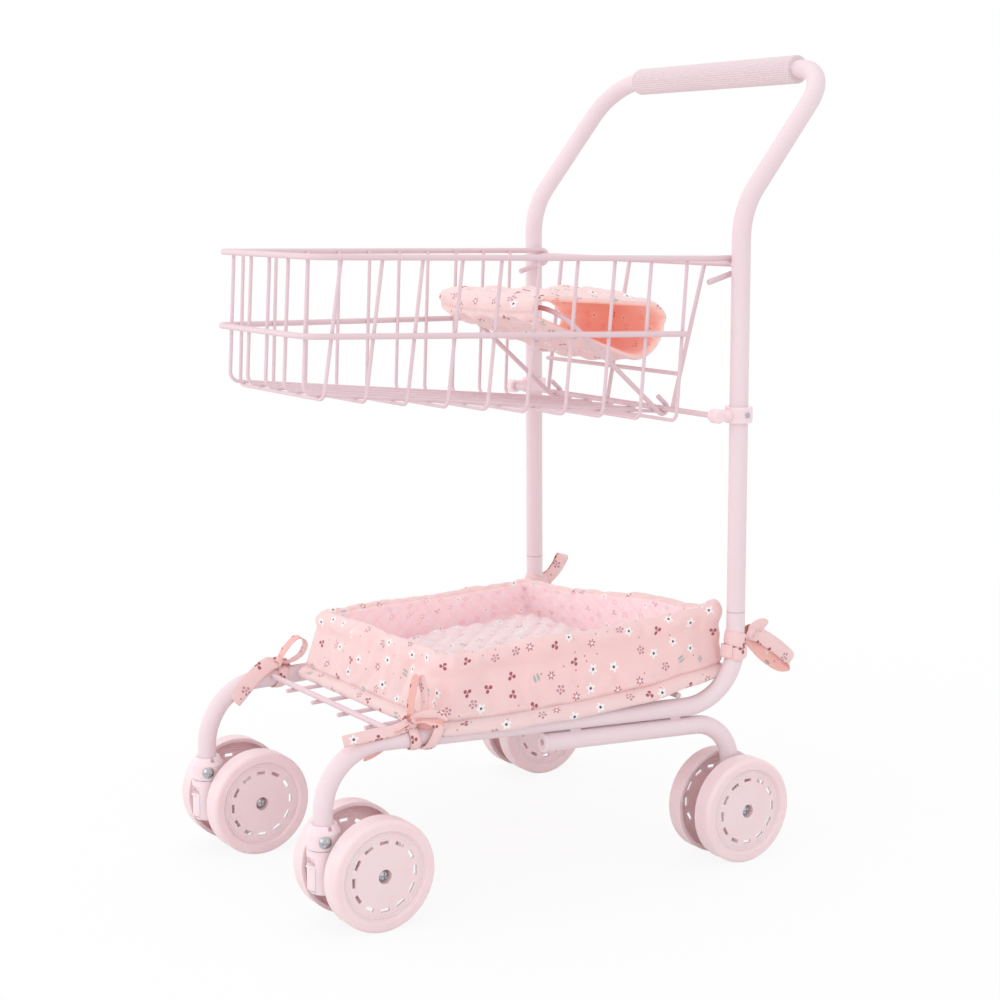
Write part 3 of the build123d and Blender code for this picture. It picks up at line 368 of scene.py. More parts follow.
def make_wheel_plastic():
    surface = make_plastic("wheel_plastic", WHEEL_COLOR, WHEEL_SHADE, WHEEL_GRAIN, WHEEL_ROUGHNESS)
    tree = surface.node_tree
    shader = next(n for n in tree.nodes if n.type == "BSDF_PRINCIPLED")
    middle = calc_vector(tree, "SUBTRACT", add(tree, "TexCoord").outputs["Generated"], BOX_MIDDLE)
    flat = calc_vector(tree, "MULTIPLY", middle, (0.0, WHEEL_WIDTH_MM, WHEEL_WIDTH_MM))
    radius = calc_vector(tree, "LENGTH", flat)
    wave = calc(tree, "SINE", calc(tree, "MULTIPLY", radius, math.tau / RING_PITCH_MM))
    beyond = calc(tree, "GREATER_THAN", radius, RING_FROM_MM)
    ringed = calc(tree, "MULTIPLY", beyond, calc(tree, "LESS_THAN", radius, RING_TO_MM))
    grain = shader.inputs["Normal"].links[0].from_node.outputs[0]
    rings = bump(tree, calc(tree, "MULTIPLY", wave, ringed), RING_HEIGHT, Normal=grain)
    feed(tree, shader, Normal=rings)
    return surface


WHEEL_PAIRS = both_sides("front_wheel", "rear_wheel")
dress([f"{pair}_{place}" for pair in WHEEL_PAIRS for place in ("outer", "inner")], make_wheel_plastic())


# Screws, kingpins and axles: turned steel with fine turning marks, bright plated with a slight haze. The
# screws are domed and driven into clamps, collars and axle ends.
CHROME_COLOR = (0.50, 0.50, 0.52)
CHROME_ROUGHNESS = 0.14
STEEL_COLOR = (0.56, 0.56, 0.57)
STEEL_ROUGHNESS = 0.26
HAZE_SIZE = 260.0
HAZE_EDGE = (0.4, 0.7)
HAZE_SHARE = 0.3
HAZE_DARKER, HAZE_ROUGHER = 0.8, 1.8
TURNING_SIZE = 1800.0
TURNING_BEND = 2.0
TURNING_DEPTH = 0.00001


def make_plating(name, colour, roughness):
    surface, tree, shader = new_material(name)
    place = add(tree, "TexCoord").outputs["Object"]
    haze = mottle(tree, place, HAZE_SIZE, detail=4.0)
    marks = mottle(tree, place, TURNING_SIZE, detail=2.0, Distortion=TURNING_BEND)
    hazed = tuple(c * HAZE_DARKER for c in colour)
    tone = mix(tree, spread(tree, haze, *HAZE_EDGE, 0.0, HAZE_SHARE), colour, hazed)
    rough = spread(tree, haze, *WEAR, roughness, roughness * HAZE_ROUGHER)
    feed(tree, shader, Base_Color=tone, Metallic=1.0, Roughness=rough)
    feed(tree, shader, Normal=bump(tree, marks, TURNING_DEPTH))
    return surface


chrome = make_plating("screw_chrome", CHROME_COLOR, CHROME_ROUGHNESS)
dress(["clamp_screws", "collar_screws", "rear_wheel_screws"] + both_sides("front_wheel_screws"), chrome)
axle_steel = make_plating("axle_steel", STEEL_COLOR, STEEL_ROUGHNESS)
dress(both_sides("kingpin", "front_axle", "rear_axle"), axle_steel)


# Printed cotton for the tray, its mat, the seat sleeve and the ties: a fine plain weave in pale peach pink,
# scattered with small plain blossoms, buds, leaf pairs and specks. Its coordinates are metres on the cloth,
# so every piece has one scale.
CLOTH_COLOR = (0.93, 0.66, 0.66)
CLOTH_SHADE = (0.89, 0.595, 0.59)
BURGUNDY = (0.40, 0.11, 0.14)
ROSE = (0.55, 0.22, 0.26)
MAUVE = (0.52, 0.30, 0.36)
SAGE = (0.45, 0.50, 0.48)
DAISY = (0.95, 0.90, 0.89)
INK = (0.10, 0.05, 0.07)
MM = 0.001
FADE_SIZE = 60.0
FADE_SHARE = 0.35
REPEAT_MM = 17.0
REPEAT_JITTER = 0.72
SPECK_MM = 9.0
SPECK_JITTER = 0.9
SPECK_SHARE = 0.22
SPECK_R_MM = 0.6
PRINT_SOFT_MM, PETAL_SOFT_MM = 0.2, 0.25
CHANCE_OVERLAP = 0.001
THREAD_MM = 0.55
FUZZ_SIZE = 900.0
WEAVE_HEIGHT = 0.00006
STITCH_LENGTH = 0.0032
STITCH_SHARE = 0.72
STITCH_HALF = 0.0006
STITCH_HEIGHT = 4.0
THREAD_COLOR, THREAD_SHARE = (0.93, 0.70, 0.68), 0.6
# The colour of the painted shade in a stitched seam's groove, and its share.
GROOVE_SHADE_COLOR, GROOVE_SHADE_SHARE = (0.66, 0.36, 0.34), 0.55
# The colour of the painted shade along quilting seams, and its share.
QUILT_SHADE_COLOR, QUILT_SHADE_SHARE = (0.88, 0.47, 0.45), 0.34
QUILT_HALF, QUILT_SOFT = 0.02, 0.16
UNTINTED = (1.0, 1.0, 1.0)
COTTON_ROUGHNESS = 0.86
COTTON_GLINT = 0.25
SHEEN_SHARE, SHEEN_ROUGHNESS = 0.18, 0.5
COTTON_GLOW = 0.55
GLOW_DEPTH = 0.012
GLOW_REACH = (1.0, 0.72, 0.62)


def scattered(tree, cloth, pitch, jitter):
    """The nearest of many scattered points: the way from it in millimetres and its random numbers."""
    cells = 1 / MM / pitch
    scaled = calc_vector(tree, "MULTIPLY", cloth, (cells, cells, 0.0))
    settings = {"voronoi_dimensions": "2D"}
    cell = add(tree, "TexVoronoi", settings, Vector=scaled, Scale=1.0, Randomness=jitter)
    away = calc_vector(tree, "SUBTRACT", scaled, cell.outputs["Position"])
    chances = add(tree, "SeparateColor", Color=cell.outputs["Color"]).outputs
    return calc_vector(tree, "SCALE", away, Scale=pitch), chances


def make_print():
    """The print as a node group: its colour and the height of the weave."""
    group = bpy.data.node_groups.new("cotton_print", "ShaderNodeTree")
    group.interface.new_socket("Vector", in_out="INPUT", socket_type="NodeSocketVector")
    group.interface.new_socket("Color", in_out="OUTPUT", socket_type="NodeSocketColor")
    group.interface.new_socket("Height", in_out="OUTPUT", socket_type="NodeSocketFloat")
    cloth = group.nodes.new("NodeGroupInput").outputs[0]

    away, chance = scattered(group, cloth, REPEAT_MM, REPEAT_JITTER)
    turn = calc(group, "MULTIPLY", chance[1], math.tau)
    turned = add(group, "VectorRotate", {"rotation_type": "Z_AXIS"}, Vector=away, Angle=turn).outputs[0]
    parts = add(group, "SeparateXYZ", Vector=turned).outputs
    reach = calc_vector(group, "LENGTH", turned)
    angle = calc(group, "ARCTAN2", parts[1], parts[0])

    def far(along, across):
        squares = [calc(group, "POWER", side, 2) for side in (along, across)]
        return calc(group, "SQRT", calc(group, "ADD", *squares))

    def petals(count, size, depth):
        wave = calc(group, "COSINE", calc(group, "MULTIPLY", angle, count))
        edge = calc(group, "MULTIPLY_ADD", wave, size * depth, size * (1 - depth))
        return inside(group, reach, edge, PETAL_SOFT_MM)

    def dots(count, ring, size):
        wedge = math.tau / count
        near = calc(group, "SUBTRACT", calc(group, "FLOORED_MODULO", angle, wedge), wedge / 2)
        along = calc(group, "MULTIPLY", reach, calc(group, "COSINE", near))
        across = calc(group, "MULTIPLY", reach, calc(group, "SINE", near))
        return inside(group, far(calc(group, "SUBTRACT", along, ring), across), size, PRINT_SOFT_MM)

    def leaves(length, width, gap):
        along = calc(group, "DIVIDE", parts[0], length)
        from_stem = calc(group, "SUBTRACT", calc(group, "ABSOLUTE", parts[1]), gap)
        return inside(group, far(along, calc(group, "DIVIDE", from_stem, width)), 1.0, PRINT_SOFT_MM)

    def spot(size):
        return inside(group, reach, size, PRINT_SOFT_MM)

    fade = mottle(group, cloth, FADE_SIZE)
    colour = mix(group, spread(group, fade, *BLOTCH, 0.0, FADE_SHARE), CLOTH_COLOR, CLOTH_SHADE)
    specks, luck = scattered(group, cloth, SPECK_MM, SPECK_JITTER)
    speck = inside(group, calc_vector(group, "LENGTH", specks), SPECK_R_MM, PRINT_SOFT_MM)
    printed = calc(group, "LESS_THAN", luck[0], SPECK_SHARE)
    colour = mix(group, calc(group, "MULTIPLY", speck, printed), colour, ROSE)
    # The chance up to which each motif is drawn, and its layers.
    motifs = {
        0.30: [(petals(count=5, size=3.7, depth=0.22), DAISY), (spot(0.95), INK)],
        0.50: [(petals(count=6, size=3.1, depth=0.30), ROSE), (spot(1.0), DAISY)],
        0.66: [(dots(count=3, ring=1.9, size=1.25), BURGUNDY), (spot(0.5), BURGUNDY)],
        0.82: [(leaves(length=2.7, width=1.0, gap=1.4), SAGE)],
        1.01: [(dots(count=5, ring=2.3, size=0.95), MAUVE), (spot(0.7), ROSE)],
    }
    low = 0.0
    for high, layers in motifs.items():
        above = calc(group, "GREATER_THAN", chance[0], low - CHANCE_OVERLAP)
        here = calc(group, "MULTIPLY", above, calc(group, "LESS_THAN", chance[0], high))
        for mask, ink in layers:
            colour = mix(group, calc(group, "MULTIPLY", mask, here), colour, ink)
        low = high

    threads = calc_vector(group, "SCALE", cloth, Scale=math.tau / MM / THREAD_MM)
    threads = add(group, "SeparateXYZ", Vector=threads).outputs
    weave = calc(group, "MULTIPLY", calc(group, "SINE", threads[0]), calc(group, "SINE", threads[1]))
    out = group.nodes.new("NodeGroupOutput")
    group.links.new(colour, out.inputs["Color"])
    group.links.new(weave, out.inputs["Height"])
    return group


print_group = make_print()


def make_cotton(name, painted_tint=UNTINTED, share=0.0, glow=COTTON_GLOW, kind="MULTIPLY", stitched=False,
                quilted=False, painted_glow_color=None, painted_glow_strength=0.0):
    """Printed cotton over wadding, mixed with a colour that is painted light on the linings and the mat and
    painted shade on one face of each tie. It may have a stitched seam where its second coordinate is nought,
    with painted shade in its groove, painted shade along crossed quilting seams, and a weak painted glow that
    stands in for the light behind it."""
    surface, tree, shader = new_material(name)
    place = add(tree, "UVMap").outputs[0]
    cloth = add(tree, "Group", {"node_tree": print_group}, Vector=place)
    tone = mix(tree, share, cloth.outputs["Color"], painted_tint, kind)
    height = calc(tree, "ADD", cloth.outputs["Height"], mottle(tree, place, FUZZ_SIZE))
    if stitched:
        marks = add(tree, "SeparateXYZ", Vector=place).outputs
        groove = inside(tree, calc(tree, "ABSOLUTE", marks[1]), STITCH_HALF, STITCH_HALF)
        beat = calc(tree, "FLOORED_MODULO", marks[0], STITCH_LENGTH)
        stitch = calc(tree, "LESS_THAN", beat, STITCH_LENGTH * STITCH_SHARE)
        thread = calc(tree, "MULTIPLY", groove, stitch)
        # Painted shade darkens the groove of the seam; the stitches keep their own lighter thread colour.
        tone = mix(tree, calc(tree, "MULTIPLY", groove, GROOVE_SHADE_SHARE), tone, GROOVE_SHADE_COLOR)
        tone = mix(tree, calc(tree, "MULTIPLY", thread, THREAD_SHARE), tone, THREAD_COLOR)
        height = calc(tree, "ADD", height, calc(tree, "MULTIPLY", thread, STITCH_HEIGHT))
    if quilted:
        diamonds = add(tree, "UVMap", {"uv_map": "quilt"}).outputs[0]
        across, along = add(tree, "SeparateXYZ", Vector=diamonds).outputs[:2]
        # Painted shade along the crossed quilting seams, where the cloth dips between the puffs.
        for way in ("ADD", "SUBTRACT"):
            from_seam = calc(tree, "PINGPONG", calc(tree, way, across, along), 0.5)
            shade = calc(tree, "MULTIPLY", inside(tree, from_seam, QUILT_HALF, QUILT_SOFT), QUILT_SHADE_SHARE)
            tone = mix(tree, shade, tone, QUILT_SHADE_COLOR)
    # Painted light: a faint emission stands in for the light that comes into the cloth from behind it.
    if painted_glow_color:
        feed(tree, shader, Emission_Color=(*painted_glow_color, 1.0), Emission_Strength=painted_glow_strength)
    feed(tree, shader, Base_Color=tone, Roughness=COTTON_ROUGHNESS, Specular_IOR_Level=COTTON_GLINT)
    feed(tree, shader, Sheen_Weight=SHEEN_SHARE, Sheen_Roughness=SHEEN_ROUGHNESS)
    feed(tree, shader, Normal=bump(tree, height, WEAVE_HEIGHT))
    feed(tree, shader, Subsurface_Weight=glow, Subsurface_Scale=GLOW_DEPTH, Subsurface_Radius=GLOW_REACH)
    return surface


# Tray: an open box of printed cotton, plain outside with a rolled hem that hangs over the rails and a quilted
# lining inside, its top edge turned over soft wadding. The ties at its corners hold it a little higher at the
# back. Its sizes are millimetres from the posts' foot.
POSTS_Y = 116.15
TRAY_HEM = [(107.0, -232.5, 118.5), (118.8, 0.5, 129.5), (-118.8, -6.0, 126.5), (-88.0, -235.5, 118.5)]
TRAY_EDGE = [(85.5, -215.0, 167.5), (116.0, -4.0, 181.0), (-117.0, -15.0, 161.0), (-90.0, -218.0, 167.5)]
TRAY_MID_Y = -100.0
TRAY_ASPECT = 0.8
TRAY_WALL = 6.5
TRAY_FLOOR_Z = 127.9
TRAY_UNDER_Z = 125.9
TRAY_CORNER = 10.0
TRAY_PER_EDGE = (66, 60, 66, 60)
TRAY_PER_CORNER = 6
TRAY_SEAM_BACK = 4
TRAY_SEAM_DEPTH = 0.9
STITCHED_ROW = 7
# How far each row is drawn in, and how far above the hem it is held before it is laid flat.
LAID_FLAT = -20.0
UNDER_PROFILE = [(80.0, LAID_FLAT), (50.0, LAID_FLAT), (22.0, -2.6), (4.5, 1.5)]
FLOOR_PROFILE = [(TRAY_WALL + 3.0, 2.0), (40.0, LAID_FLAT), (80.0, LAID_FLAT)]
# How far each row is drawn in and its share of the wall's height, then the corner's share of the full radius.
WALL_PROFILES = {
    "hem": ([(3.0, 0.03), (0.6, 0.0), (-2.0, 0.02), (-3.4, 0.06), (-3.5, 0.105), (-2.2, 0.145), (0.9, 0.165),
             (1.6, 0.175), (0.9, 0.19)], 1.0),
    "outside": ([(0.0, 0.23), (0.2, 0.27), (0.5, 0.32), (0.8, 0.39), (0.9, 0.46), (0.8, 0.53), (0.6, 0.60),
                 (0.9, 0.66), (1.0, 0.71), (0.2, 0.76), (-1.2, 0.82), (-1.8, 0.88), (-1.4, 0.94)], 1.0),
    "over": ([(0.4, 0.985), (2.6, 1.0), (4.8, 0.985)], 0.8),
    "lining": ([(TRAY_WALL, 0.94 - 0.06 * step) for step in range(13)], 0.6),
}
# Along a long side: the share of its length, how far it hangs out and how far it rises.
SIDE_HANG = [(0.0, 0.5, -1.0), (0.23, 4.5, -4.0), (0.46, 7.5, -5.0), (0.68, 9.5, -4.0), (0.89, 6.5, 0.0),
             (1.0, 0.0, 0.0)]
EAR_HEIGHT, EAR_WIDTH = 4.5, 10.0
# The size of a swell in the cloth and its height.
HEM_SLACK = (13.0, 0.7)
WALL_SLACK = (38.0, 1.8)
WALL_PUCKER = (10.0, 0.45)
EDGE_SLACK, EDGE_STRETCH = (30.0, 2.2), 0.8
LINING_STEP = 6
LINING_PUFF = 1.6
QUILT_FULLNESS = 0.55
# Painted light: the lining and the mat are washed paler than the outside, and the lining glows faintly.
LINING_PAINTED_LIGHT, LINING_PAINTED_LIGHT_SHARE = (1.0, 0.90, 0.93), 0.45
LINING_PAINTED_GLOW, LINING_PAINTED_GLOW_STRENGTH = (1.0, 0.75, 0.9), 0.12
CLOTH_FRAMES = 14
CLOTH_QUALITY = 6
CLOTH_MASS = 0.05


def at(x, y, z):
    """A point in millimetres from the posts' foot, as the frame's metres."""
    return Vector((x, y + POSTS_Y, z)) * MM


def rounded_loop(corners, radius, per_edge, per_corner):
    """Points round four corners, each corner turned by a smooth curve, the same number on every loop."""
    corners = [Vector(c) for c in corners]
    points = []
    for place, corner in enumerate(corners):
        next_corner = corners[(place + 1) % len(corners)]
        before = (corners[place - 1] - corner).normalized()
        after = (next_corner - corner).normalized()
        start, end = corner + before * radius, corner + after * radius
        for step in range(per_corner):
            t = step / per_corner
            points.append(start.lerp(corner, t).lerp(corner.lerp(end, t), t))
        stop = next_corner - after * radius
        for step in range(per_edge[place]):
            points.append(end.lerp(stop, step / per_edge[place]))
    return points


def drawn_in(corners, inset):
    """The four corners moved inward along both sides."""
    moved = []
    for x, y, z in corners:
        inward = inset if y < TRAY_MID_Y else -inset
        moved.append((x - inset * math.copysign(1, x), y + inward, z))
    return moved


def up_the_wall(share):
    return [tuple(a + (b - a) * share for a, b in zip(p, q)) for p, q in zip(TRAY_HEM, TRAY_EDGE)]


def level(inset, lowest, above_hem):
    """The hem's outline drawn in and laid flat, but lifted with the hem where the rear ties lift it."""
    return drawn_in([(x, y, max(lowest, z + above_hem)) for x, y, z in TRAY_HEM], inset)


def mesh_from_rows(name, rows, uv_rows, surface, ring=True, tube=False):
    """A quad mesh from equal rows of points. A ring closes each row, and a tube also joins the last row to
    the first. Cloth coordinates are in metres."""
    count = len(rows[0])
    points = [p for row in rows for p in row]
    faces, uvs = [], []
    for r in range(len(rows) if tube else len(rows) - 1):
        s = (r + 1) % len(rows)
        for c in range(count if ring else count - 1):
            d = (c + 1) % count
            faces.append((r * count + c, r * count + d, s * count + d, s * count + c))
            uvs += [uv_rows[r][c], uv_rows[r][c + 1], uv_rows[r + 1][c + 1], uv_rows[r + 1][c]]
    mesh = bpy.data.meshes.new(name)
    mesh.from_pydata(points, [], faces)
    layer = mesh.uv_layers.new(name="cloth")
    layer.data.foreach_set("uv", [n for uv in uvs for n in uv])
    mesh.polygons.foreach_set("use_smooth", [True] * len(faces))
    mesh.materials.append(surface)
    made = bpy.data.objects.new(name, mesh)
    scene.collection.objects.link(made)
    return made


def patch(work, ring, length, width):
    """Fills a ring of vertices, as a cloth panel with four sides, with an even grid of faces."""
    near, rear = ring[:length + 1], ring[length:length + width + 1]
    far = ring[length + width:2 * length + width + 1][::-1]
    front = (ring[2 * length + width:] + ring[:1])[::-1]
    grid = [[None] * (width + 1) for _ in range(length + 1)]
    for i in range(length + 1):
        u = i / length
        for j in range(width + 1):
            v = j / width
            if j in (0, width):
                grid[i][j] = (near if j == 0 else far)[i]
            elif i in (0, length):
                grid[i][j] = (front if i == 0 else rear)[j]
            else:
                along = near[i].co.lerp(far[i].co, v) + front[j].co.lerp(rear[j].co, u)
                corners = near[0].co.lerp(far[0].co, v).lerp(near[length].co.lerp(far[length].co, v), u)
                grid[i][j] = work.verts.new(along - corners)
    marks = work.loops.layers.uv.active
    for i in range(length):
        for j in range(width):
            face = work.faces.new((grid[i][j], grid[i + 1][j], grid[i + 1][j + 1], grid[i][j + 1]))
            face.smooth = True
            for corner in face.loops:
                corner[marks].uv = corner.vert.co.xy


def close_up(piece, rings=(), length=1, width=1):
    """Fills the open ends of a piece, and turns all its faces outward."""
    work = bmesh.new()
    work.from_mesh(piece.data)
    work.verts.ensure_lookup_table()
    for ring in [[work.verts[i] for i in places] for places in rings]:
        patch(work, ring, length, width)
    bmesh.ops.recalc_face_normals(work, faces=work.faces)
    work.to_mesh(piece.data)
    work.free()


def running_lengths(points, closed=True):
    """The running length along a row, with the full length at the end where it closes."""
    lengths = [0.0]
    for place in range(len(points) if closed else len(points) - 1):
        lengths.append(lengths[-1] + (points[(place + 1) % len(points)] - points[place]).length)
    return lengths


def quilt(across, along, step):
    """The swell of a diamond quilt: nothing on its crossed seams, full in the middle of each diamond."""
    one = abs(math.sin(math.pi * (across + along) / step))
    other = abs(math.sin(math.pi * (across - along) / step))
    return (one * other) ** QUILT_FULLNESS


def on_seam(across, along, step):
    return (across + along) % step == 0 or (across - along) % step == 0


def mark_quilt(piece, count, step):
    """A second set of cloth coordinates, whole numbers on the crossed seams of the quilting."""
    layer = piece.data.uv_layers.new(name="quilt")
    for face in piece.data.polygons:
        places = [piece.data.loops[k].vertex_index for k in face.loop_indices]
        closing = {0, count - 1} <= {place % count for place in places}
        for k, place in zip(face.loop_indices, places):
            row, column = divmod(place, count)
            column = count if closing and column == 0 else column
            layer.data[k].uv = (column / step, row / step)


def slack(point, size, height):
    """A soft uneven swell in cloth that isn't pulled tight."""
    return height * noise.noise(Vector(point) / size)


def settle(piece, held, pressure, spare, cap):
    """Lets the cloth swell and pucker between its seams for a few frames, and keeps the shape it takes."""
    seams = piece.vertex_groups.new(name="seams")
    seams.add(held, 1.0, "REPLACE")
    cloth = piece.modifiers.new("settle", "CLOTH")
    cloth.settings.quality = CLOTH_QUALITY
    cloth.settings.mass = CLOTH_MASS
    cloth.settings.use_pressure = True
    cloth.settings.uniform_pressure_force = pressure
    cloth.settings.vertex_group_mass = "seams"
    cloth.settings.shrink_min = -spare
    cloth.settings.effector_weights.gravity = 0.0
    cloth.collision_settings.use_collision = False
    cloth.point_cache.frame_end = CLOTH_FRAMES
    for step in range(1, CLOTH_FRAMES + 1):
        scene.frame_set(step)
    shape = piece.evaluated_get(bpy.context.evaluated_depsgraph_get()).data
    settled = [vertex.co.copy() for vertex in shape.vertices]
    piece.modifiers.remove(cloth)
    piece.vertex_groups.remove(seams)
    for vertex, place in zip(piece.data.vertices, settled):
        way = place - vertex.co
        vertex.co += way * min(1.0, cap / max(way.length, cap))
    scene.frame_set(1)


def subdivide(piece, levels):
    made = piece.modifiers.new("smooth", "SUBSURF")
    made.levels = levels
    made.render_levels = levels


def hung(row, share):
    """The long sides hang out over the rails between their ends, most of all at the hem."""
    loose = (1 - share) ** 2
    long_side = TRAY_PER_EDGE[0]
    far_start = 3 * TRAY_PER_CORNER + long_side + TRAY_PER_EDGE[1]
    for step in range(long_side):
        along = step / long_side
        place = next(place for place in range(len(SIDE_HANG) - 1) if along < SIDE_HANG[place + 1][0])
        (start, out, up), (stop, next_out, next_up) = SIDE_HANG[place:place + 2]
        part = (along - start) / (stop - start)
        part = part * part * (3 - 2 * part)
        out, up = out + (next_out - out) * part, up + (next_up - up) * part
        row[TRAY_PER_CORNER + step] += Vector((out, 0, up)) * loose
        row[far_start + long_side - 1 - step] += Vector((-out, 0, up)) * loose
    return row


def tray_rows():
    """Rows from the middle of the underside to the hem, up outside, down the lining and across the floor."""
    def loop(corners, radius):
        return rounded_loop(corners, radius, TRAY_PER_EDGE, TRAY_PER_CORNER)

    def flat_rows(profile, lowest):
        return [loop(level(inset, lowest, rise), TRAY_CORNER / 2) for inset, rise in profile]

    rows = {"under": flat_rows(UNDER_PROFILE, TRAY_UNDER_Z)}
    for name, (profile, round_share) in WALL_PROFILES.items():
        radius = TRAY_CORNER * round_share
        loops = [(loop(drawn_in(up_the_wall(share), inset), radius), share) for inset, share in profile]
        rows[name] = [hung(row, share) for row, share in loops]
    rows["floor"] = flat_rows(FLOOR_PROFILE, TRAY_FLOOR_Z)
    return rows


def tray_seams():
    """The columns of the four upright seams, a little behind the front corners and ahead of the rear ones."""
    corner = TRAY_PER_CORNER
    rear_near = corner + TRAY_PER_EDGE[0]
    rear_far = rear_near + corner + TRAY_PER_EDGE[1]
    front_far = rear_far + corner + TRAY_PER_EDGE[2]
    return {corner + TRAY_SEAM_BACK, rear_near - 1, rear_far + corner + 1, front_far - TRAY_SEAM_BACK}


def hem_length(groups):
    """The way along the cloth from the middle of the underside to the stitched line above the hem."""
    rows = groups["under"] + groups["hem"][:STITCHED_ROW + 1]
    return sum((rows[place + 1][0] - rows[place][0]).length for place in range(len(rows) - 1))


def make_tray():
    groups = tray_rows()
    seams = tray_seams()
    ear = Vector(TRAY_EDGE[1])
    lengths = running_lengths(groups["outside"][0])
    rows, uv_rows, held, before = [], [], [], None
    depth = -hem_length(groups)
    for name, group in groups.items():
        for place, row in enumerate(group):
            middle = sum(row, Vector()) / len(row)
            if before:
                depth += (row[0] - before[0]).length
            before = row
            share = place / len(group)
            top = {"outside": share ** 2, "over": 1.0, "lining": (1 - share) ** 2}.get(name, 0.0)
            shaped = []
            for c, point in enumerate(row):
                outward = Vector((point.x - middle.x, (point.y - middle.y) * TRAY_ASPECT, 0)).normalized()
                moved = point.copy()
                fixed = name in ("under", "floor", "hem")
                if name == "hem":
                    moved += outward * slack(point, *HEM_SLACK)
                if name == "outside":
                    moved += outward * (slack(point, *WALL_SLACK) + slack(point, *WALL_PUCKER))
                    if c in seams:
                        moved -= outward * TRAY_SEAM_DEPTH
                        fixed = True
                if name == "lining":
                    moved -= outward * quilt(c, place, LINING_STEP) * LINING_PUFF
                    fixed = on_seam(c, place, LINING_STEP) or place == len(group) - 1
                ear_rise = EAR_HEIGHT * math.exp(-((point - ear).length / EAR_WIDTH) ** 2)
                moved.z += top * (slack(point * EDGE_STRETCH, *EDGE_SLACK) + ear_rise)
                if fixed:
                    held.append(len(rows) * len(row) + c)
                shaped.append(at(*moved))
            rows.append(shaped)
            if name in ("under", "floor"):
                uv_rows.append([(p.x, p.y) for p in shaped + shaped[:1]])
            else:
                uv_rows.append([(s * MM, depth * MM) for s in lengths])
    tray = mesh_from_rows("tray_fabric", rows, uv_rows, make_cotton("tray_cotton", stitched=True))
    count = len(rows[0])
    last = (len(rows) - 1) * count
    turned = [(place + TRAY_PER_CORNER // 2) % count for place in range(count)]
    sides = [TRAY_PER_CORNER + TRAY_PER_EDGE[0], TRAY_PER_CORNER + TRAY_PER_EDGE[1]]
    close_up(tray, [turned, [last + place for place in turned]], *sides)
    # The lining's pale wash and faint glow are painted light.
    lining_cotton = make_cotton("lining_cotton", LINING_PAINTED_LIGHT, LINING_PAINTED_LIGHT_SHARE, kind="MIX", quilted=True,
                                painted_glow_color=LINING_PAINTED_GLOW, painted_glow_strength=LINING_PAINTED_GLOW_STRENGTH)
    tray.data.materials.append(lining_cotton)
    mark_quilt(tray, count, LINING_STEP)
    lining_start = [name for name, group in groups.items() for _ in group].index("lining") * count
    for face in tray.data.polygons:
        face.material_index = int(lining_start <= face.index < last)
    settle(tray, held, pressure=2.0, spare=0.04, cap=0.0016)
    return tray


tray = make_tray()
subdivide(tray, 1)
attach(tray, "root")
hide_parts("tray_liner")


# Tray mat: a loose quilted mat of the same cotton over thin wadding, sewn through in small diamonds, so it
# puffs between the seams and curls up a little where it meets the lining.
MAT_FRONT, MAT_REAR = -222.0, -16.0
MAT_FRONT_HALF, MAT_REAR_HALF = 86.0, 106.0
MAT_FRONT_MIDDLE = (TRAY_HEM[0][0] + TRAY_HEM[3][0]) / 2
MAT_UNDER_Z = 129.6
MAT_THICK = 6.5
MAT_CROWN = 3.5
MAT_PUFF = 3.0
MAT_STEPS = (80, 82)
MAT_QUILT = 8
MAT_EDGE_STEPS, MAT_BOUND_STEPS = 3, 2
MAT_SLACK = (45.0, 2.0)
MAT_PUCKER, MAT_PUCKER_AT = (14.0, 0.7), 9.0


def make_tray_mat():
    """A flattened sleeve: each row runs across the top from far to near, and back underneath."""
    across, along = MAT_STEPS
    row_length = 2 * (across + 1)
    rows, uv_rows, held = [], [], []
    for j in range(along + 1):
        v = j / along
        y = MAT_FRONT + (MAT_REAR - MAT_FRONT) * v
        half = MAT_FRONT_HALF + (MAT_REAR_HALF - MAT_FRONT_HALF) * v
        middle = MAT_FRONT_MIDDLE * (1 - v)
        row = []
        for i in range(across + 1):
            x = middle + (2 * i / across - 1) * half
            edge = min(i, across - i, j, along - j)
            full = min(1.0, edge / MAT_EDGE_STEPS) ** 0.5
            crown = MAT_CROWN * math.sin(math.pi * i / across) * math.sin(math.pi * v)
            lift = slack((x, y, 0), *MAT_SLACK) + slack((x, y, MAT_PUCKER_AT), *MAT_PUCKER)
            rise = MAT_THICK + crown + lift + MAT_PUFF * quilt(i, j, MAT_QUILT)
            if edge < MAT_BOUND_STEPS or on_seam(i, j, MAT_QUILT):
                held.append(j * row_length + i)
            row.append(at(x, y, MAT_UNDER_Z + rise * full))
        for i in range(across, -1, -1):
            held.append(j * row_length + len(row))
            row.append(at(middle + (2 * i / across - 1) * half, y, MAT_UNDER_Z))
        rows.append(row)
        uv_rows.append([(p.x, p.y) for p in row + row[:1]])
    # The mat has the lining's pale wash of painted light, without the glow.
    mat_cotton = make_cotton("mat_cotton", LINING_PAINTED_LIGHT, LINING_PAINTED_LIGHT_SHARE, kind="MIX", quilted=True)
    mat = mesh_from_rows("tray_mat", rows, uv_rows, mat_cotton)
    mark_quilt(mat, row_length, MAT_QUILT)
    ends = [[start + place for place in range(row_length)] for start in (0, along * row_length)]
    close_up(mat, ends, across, 1)
    settle(mat, held, pressure=3.0, spare=0.06, cap=0.003)
    return mat


tray_mat = make_tray_mat()
subdivide(tray_mat, 1)
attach(tray_mat, "root")
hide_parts("tray_pad")


